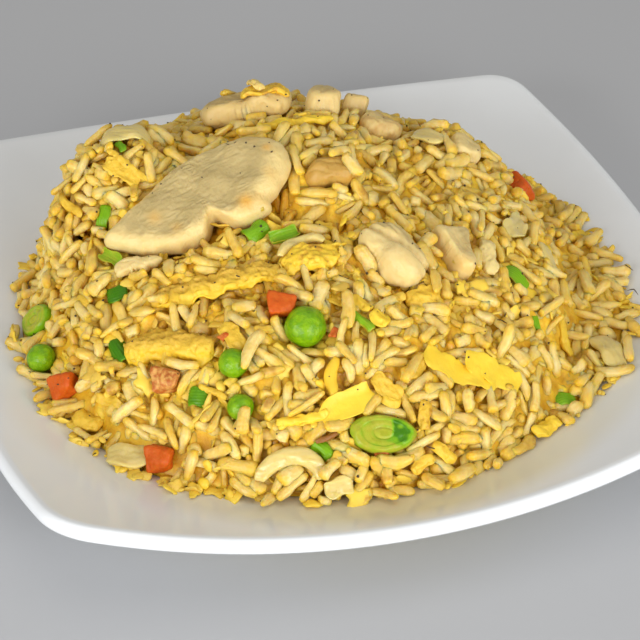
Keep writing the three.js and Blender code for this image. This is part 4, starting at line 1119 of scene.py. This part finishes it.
def egg_bits(kind, draw):
    """Torn lumps of egg that have settled on the heap, thickest where a cloud is high. Each is a
    ball drawn out to its length and width, thin across. One cloud tears its rim, a second makes
    its lumps and a third curls it. Each bit reads its own part of them, a gap away."""
    places, normals = scatter(3 * kind["count"], draw)
    drift = cloud(places, DRIFT, 4) + 0.5 * cloud(places, DRIFT / 3, 5)
    chosen = np.argsort(draw.uniform(0, 1.6, len(places)) - drift)[: kind["count"]]
    laid = []
    for place, normal in zip(places[chosen], normals[chosen]):
        small, large = kind["sizes"]
        length = small + (large - small) * draw.uniform() ** 1.6
        width = length * draw.uniform(*WIDTH_SHARES)
        limit = depth_limit(place, kind["cap"])
        found = settle(pile, place, normal, length, kind["thin"] * width, kind["low"], limit, draw)
        if found:
            laid.append((*found[:2], normal, length, width))
    centres, along, normals, lengths, widths = (np.array(part) for part in zip(*laid))
    ball_points, faces = ball(*kind["mesh"])
    up = normals + 0.5 * draw.normal(size=normals.shape)
    across = np.cross(up, along)
    across /= np.linalg.norm(across, axis=1, keepdims=True)
    up = np.cross(along, across)
    size = np.stack([lengths, widths, kind["thin"] * widths], axis=-1)[:, None] / 2
    local = ball_points * size
    own = CLOUD_GAP * np.arange(len(laid))[:, None, None]
    turn = np.arctan2(ball_points[:, 1], ball_points[:, 0])
    rim = np.stack([np.cos(turn), np.sin(turn), 0 * turn], axis=-1) * lengths[:, None, None] / 2.6
    torn = 1 + TEAR * cloud((rim + own).reshape(-1, 3), 0.9, 1)
    lump = torn + 0.25 * cloud((local + own).reshape(-1, 3), 0.9, 2)
    local = local * 1.15 * lump.reshape(len(laid), -1, 1)
    curl = CURL * cloud((local + own).reshape(-1, 3), 2.0, 3).reshape(len(laid), -1)
    local[..., 2] += curl * np.minimum(1, lengths[:, None] / 5)
    points = centres[:, None] + local[..., :1] * along[:, None]
    points = points + local[..., 1:2] * across[:, None] + local[..., 2:] * up[:, None]
    each = len(ball_points)
    looks = {
        "bright": np.repeat(0.3 + 0.7 * draw.uniform(0, 1, len(laid)) ** 0.6, each),
        "brown": np.repeat(0.8 * draw.uniform(0, 1, len(laid)) ** 3, each),
        "pale": np.repeat(draw.uniform(0, 0.25, len(laid)), each),
    }
    faces = repeated(faces, len(laid), each)
    make_piece(kind["name"], points.reshape(-1, 3), faces, "egg", egg, **looks)
    food.append(points.reshape(-1, 3))


draw = np.random.default_rng(3)
for kind in CRUMB_KINDS:
    egg_bits(kind, draw)

# Rice: about 5,000 more grains of the same kind, 4 to 10 mm long, and broken ones from 2.5 mm. They
# lie as they fell, each in the gaps of those below it, pale where they are plump and golden where
# they fried in the oil. Grains that lie deep in the heap are painted brown: painted shade and warm
# bounce light of the gaps between the grains.
GRAIN_LENGTHS = (7.8, 1.2)
LAYERS = [(-2.6, 5400), (-1.2, 5600), (0.9, 5200), (2.2, 500)]
LENGTH_RANGE = (4, 10)
BROKEN_SHARE = 0.22
BROKEN_LENGTHS = (2.5, 5.5)
WIDTH_SPREAD = 0.15
WIDTH_RANGE = (0.7, 1.4)
FRIED_FROM = 0.78
GAP_SHADE_BELOW = 4
KINDS = [
    ("rice_pale", 0.0, 0.27), ("rice_cream", 0.27, 0.53), ("rice_gold", 0.53, FRIED_FROM),
    ("rice_fried", FRIED_FROM, 1.01),
]
draw = np.random.default_rng(11)
laid = []
grains = []
for cap, sites in LAYERS:
    for place, normal in zip(*scatter(sites, draw)):
        length = np.clip(draw.normal(*GRAIN_LENGTHS), *LENGTH_RANGE)
        if draw.uniform() < BROKEN_SHARE:
            length = draw.uniform(*BROKEN_LENGTHS)
        limit = depth_limit(place, cap)
        found = settle(pile, place, normal, length, GRAIN_WIDTH, DEEPEST, limit, draw)
        if found:
            laid.append((*found, length))
centres, along, heights, lengths = (np.array(part) for part in zip(*laid))
widths = GRAIN_WIDTH * np.clip(draw.normal(1.0, WIDTH_SPREAD, len(laid)), *WIDTH_RANGE)
tones = draw.uniform(0, 1, len(laid))
for name, least, most in KINDS:
    kind = (tones >= least) & (tones < most)
    chosen = (part[kind] for part in (centres, along, lengths, widths))
    points, faces, core = grain_meshes(*chosen, draw)
    each = len(points) // kind.sum()
    # Painted shade of the gaps: grains 4 mm or more down are the darkest, and it also pushes their
    # tone to amber.
    painted_gap_shade = np.clip(-heights[kind] / GAP_SHADE_BELOW, 0, 1)
    looks = {
        "painted_gap_shade": np.repeat(painted_gap_shade, each),
        "tone": np.repeat(np.clip(tones[kind] * 0.7 + 0.6 * painted_gap_shade, 0, 1), each),
        "fried": np.repeat((tones[kind] > FRIED_FROM) * draw.uniform(0.3, 1, kind.sum()), each),
        "core": core,
    }
    nodes = ["rice_heap"] if name == "rice_pale" else []
    make_piece(name, points, faces, "rice", rice, nodes, **looks)
    grains.append(points)
food.extend(grains)

# Bed of rice: what binds the heap, broken rice, egg and frying oil in the gaps between the grains.
# It fills the dish and follows the grains that lie on it, a little below their tops. Its orange
# brown is partly the oil and egg and partly painted warm shade of the gaps.
BED_CELLS = 210
BED_MARGIN = 2.0
BED_SINK = 1.2
BED_BLUR = 1.8
BED_LIFT = 0.3
BED_THINNEST = 0.4
BED_RIM_RISE = 1.3
BARE_DEPTH = 4
PLAN_HALF = 90


def tops_of(points):
    """Level of the highest points in each square millimetre of the plan, blurred by a bell
    curve. Where there are few points it leans to a level 4 mm below the heap's surface."""
    i, j = np.floor(points[:, :2] + PLAN_HALF).astype(int).T
    tops = np.full((2 * PLAN_HALF, 2 * PLAN_HALF), -np.inf)
    np.maximum.at(tops, (i, j), points[:, 2])
    found = np.isfinite(tops)
    side = np.arange(2 * PLAN_HALF) + 0.5 - PLAN_HALF
    level = np.where(found, tops, 0.0)
    weight = found.astype(float)
    steps = np.arange(-5, 6)
    bell = np.exp(-((steps / BED_BLUR) ** 2) / 2)
    for axis in (0, 1):
        level = sum(part * np.roll(level, step, axis) for step, part in zip(steps, bell))
        weight = sum(part * np.roll(weight, step, axis) for step, part in zip(steps, bell))
    below = heap_height(side[:, None], side[None, :]) - BARE_DEPTH
    return (level + below) / (weight + 1)


def level_at(grid, x, y):
    """Value of a grid of square millimetres at places of the plan, from the four squares round
    each place."""
    across, down = x + PLAN_HALF - 0.5, y + PLAN_HALF - 0.5
    i, j = np.floor(across).astype(int), np.floor(down).astype(int)
    part_i, part_j = across - i, down - j
    near = grid[i, j] * (1 - part_j) + grid[i, j + 1] * part_j
    far = grid[i + 1, j] * (1 - part_j) + grid[i + 1, j + 1] * part_j
    return near * (1 - part_i) + far * part_i


u, v, side, faces = two_faces(BED_CELLS, BED_CELLS)
share, angle = on_disc(u, v)
reach = edge_radius(angle) - BED_MARGIN
x, y = share * reach * np.cos(angle), share * reach * np.sin(angle)
floor_height = dish_height(share * reach) + BED_LIFT
flat = np.stack([x, y, 0 * x], axis=-1)
drift = cloud(flat, 7.0, 21) + 0.6 * cloud(flat, 2.2, 22)
scrambled = np.clip(2.5 * drift - 0.3, 0, 1)
relief = 0.8 * cloud(flat, 1.6, 23) + 0.3 * cloud(flat, 0.9, 24) + 0.4 * scrambled
bed = level_at(tops_of(np.concatenate(grains)), x, y) - BED_SINK + relief
bed = np.minimum(bed, floor_height + BED_THINNEST + BED_RIM_RISE * (1 - share) * reach)
bed = np.maximum(bed, floor_height + BED_THINNEST)
points = np.stack([x, y, np.where((side > 0) & (share < 1), bed, floor_height)], axis=-1)

bed_finish = Finish(
    "rice bed", Specular_IOR_Level=0.3, Coat_Weight=0.15, Coat_Roughness=0.2,
    Subsurface_Weight=0.7, Subsurface_Radius=(1.0, 0.75, 0.3), Subsurface_Scale=0.0015,
)
patches = bed_finish.noise(3, 3).above(0.3, 0.7)
# The orange-brown of the gaps: partly oil and egg, partly painted shade and warm bounce light.
gap_shade_and_oil = bed_finish.blend(patches, (0.60, 0.30, 0.006), (0.73, 0.44, 0.025))
patches = bed_finish.noise(2, 3).above(0.3, 0.7)
curds = bed_finish.blend(patches, (0.82, 0.46, 0.02), (0.96, 0.66, 0.06))
bed_finish.wear(
    Base_Color=bed_finish.blend(bed_finish.kept("scrambled"), gap_shade_and_oil, curds),
    Roughness=0.3 + 0.3 * bed_finish.noise(1.5, 2),
    Normal=bed_finish.bump(bed_finish.noise(1.2, 3), 0.35),
)
make_piece("rice_bed", points, faces, "rice", bed_finish, scrambled=scrambled)

# Egg on top: more torn flakes and crumbs of scrambled egg, broken off like those below. They fell
# last and lie on and between the uppermost grains.
LAST_KINDS = [
    {"name": "egg_flakes_on_top", "count": 700, "sizes": (2.2, 5.5), "thin": 0.2, "low": -1.0,
     "cap": 3.2, "mesh": (7, 10)},
    {"name": "egg_crumbs_on_top", "count": 800, "sizes": (1.0, 2.8), "thin": 0.6, "low": -1.5,
     "cap": 2.2, "mesh": (5, 9)},
]
draw = np.random.default_rng(5)
for kind in LAST_KINDS:
    egg_bits(kind, draw)

# Pepper: about 260 specks of coarse black pepper, 0.3 to 0.7 mm, stirred in and stuck to whatever
# lies on top, with some dark threads of browned spice, 1.5 to 4 mm long.
SPECKS = 260
THREADS = 30
SPECK_LENGTHS = (0.3, 0.7)
THREAD_LENGTHS = (1.5, 4)
THREAD_WIDTH = 0.3
SPECK_CELL = 0.8
pepper = Finish("pepper", Base_Color=(0.06, 0.032, 0.012, 1.0), Roughness=0.7)
draw = np.random.default_rng(17)
top = np.concatenate(food)
top = top[np.argsort(-top[:, 2])]
top = top[np.unique(np.floor(top[:, :2] / SPECK_CELL), axis=0, return_index=True)[1]]
centres = top[draw.choice(len(top), SPECKS + THREADS, replace=False)]
along = heap_normal(centres[:, 0], centres[:, 1])
along = crosswise(along, draw)[0]
first, second = crosswise(along, draw)
thread = np.arange(len(centres)) >= SPECKS
long, short = (draw.uniform(*ends, len(centres)) for ends in (THREAD_LENGTHS, SPECK_LENGTHS))
lengths = np.where(thread, long, short)
widths = np.where(thread, THREAD_WIDTH, lengths * draw.uniform(0.6, 1, len(centres)))
ball_points, faces = ball(5, 6)
way = ball_points[:, 0]
aside = ball_points[:, 1] * widths[:, None] / 2 + 0.12 * lengths[:, None] * np.cos(3 * way)
points = centres[:, None] + (way * lengths[:, None] / 2)[..., None] * along[:, None]
points = points + aside[..., None] * first[:, None]
points = points + (ball_points[:, 2] * widths[:, None] / 2)[..., None] * second[:, None]
faces = repeated(faces, len(centres), len(ball_points))
make_piece("pepper_specks", points.reshape(-1, 3), faces, "rice", pepper)

# The set: a plain pale floor, a pale room, two soft lights low at the front and one above, and the
# camera above the plate's front edge.
EYE = (-0.0982, -0.3766, 0.3035)
AHEAD = (0.2016, 0.7684, -0.6074)
LENS = 107.57
LIGHTS = [
    ("left", (-0.72, -0.60, 0.28), 0.6, 6.6), ("right", (0.34, -0.87, 0.28), 0.6, 6.6),
    ("above", (0.0, 0.0, 1.1), 0.9, 1.5),
]
SENSOR = 36.0
TARGET = (0.0, -0.01, 0.02)
ROOM_COLOUR = (1.0, 0.97, 0.92, 1.0)
ROOM_STRENGTH = 0.37
FLOOR_SIDE = 3.0
FLOOR_COLOUR = (0.52, 0.53, 0.55, 1.0)
corner = FLOOR_SIDE / 2
floor_mesh = bpy.data.meshes.new("floor")
corners = [(-corner, -corner, 0), (corner, -corner, 0), (corner, corner, 0), (-corner, corner, 0)]
floor_mesh.from_pydata(corners, [], [(0, 1, 2, 3)])
floor_mesh.materials.append(Finish("floor", Base_Color=FLOOR_COLOUR, Roughness=0.6).material)
floor = bpy.data.objects.new("floor", floor_mesh)
bpy.context.scene.collection.objects.link(floor)

world = bpy.data.worlds.new("room")
world.use_nodes = True
world.node_tree.nodes["Background"].inputs["Color"].default_value = ROOM_COLOUR
world.node_tree.nodes["Background"].inputs["Strength"].default_value = ROOM_STRENGTH
bpy.context.scene.world = world

for name, place, side, watts in LIGHTS:
    light = bpy.data.lights.new(name, "AREA")
    light.size = side
    light.energy = watts
    lamp = bpy.data.objects.new(name, light)
    lamp.location = place
    lamp.rotation_euler = (Vector(TARGET) - lamp.location).to_track_quat("-Z", "Y").to_euler()
    bpy.context.scene.collection.objects.link(lamp)

camera_data = bpy.data.cameras.new("camera")
camera_data.lens = LENS
camera_data.sensor_width = SENSOR
camera = bpy.data.objects.new("camera", camera_data)
camera.location = EYE
camera.rotation_euler = Vector(AHEAD).to_track_quat("-Z", "Y").to_euler()
bpy.context.scene.collection.objects.link(camera)
bpy.context.scene.camera = camera
bpy.context.scene.view_settings.view_transform = "Standard"
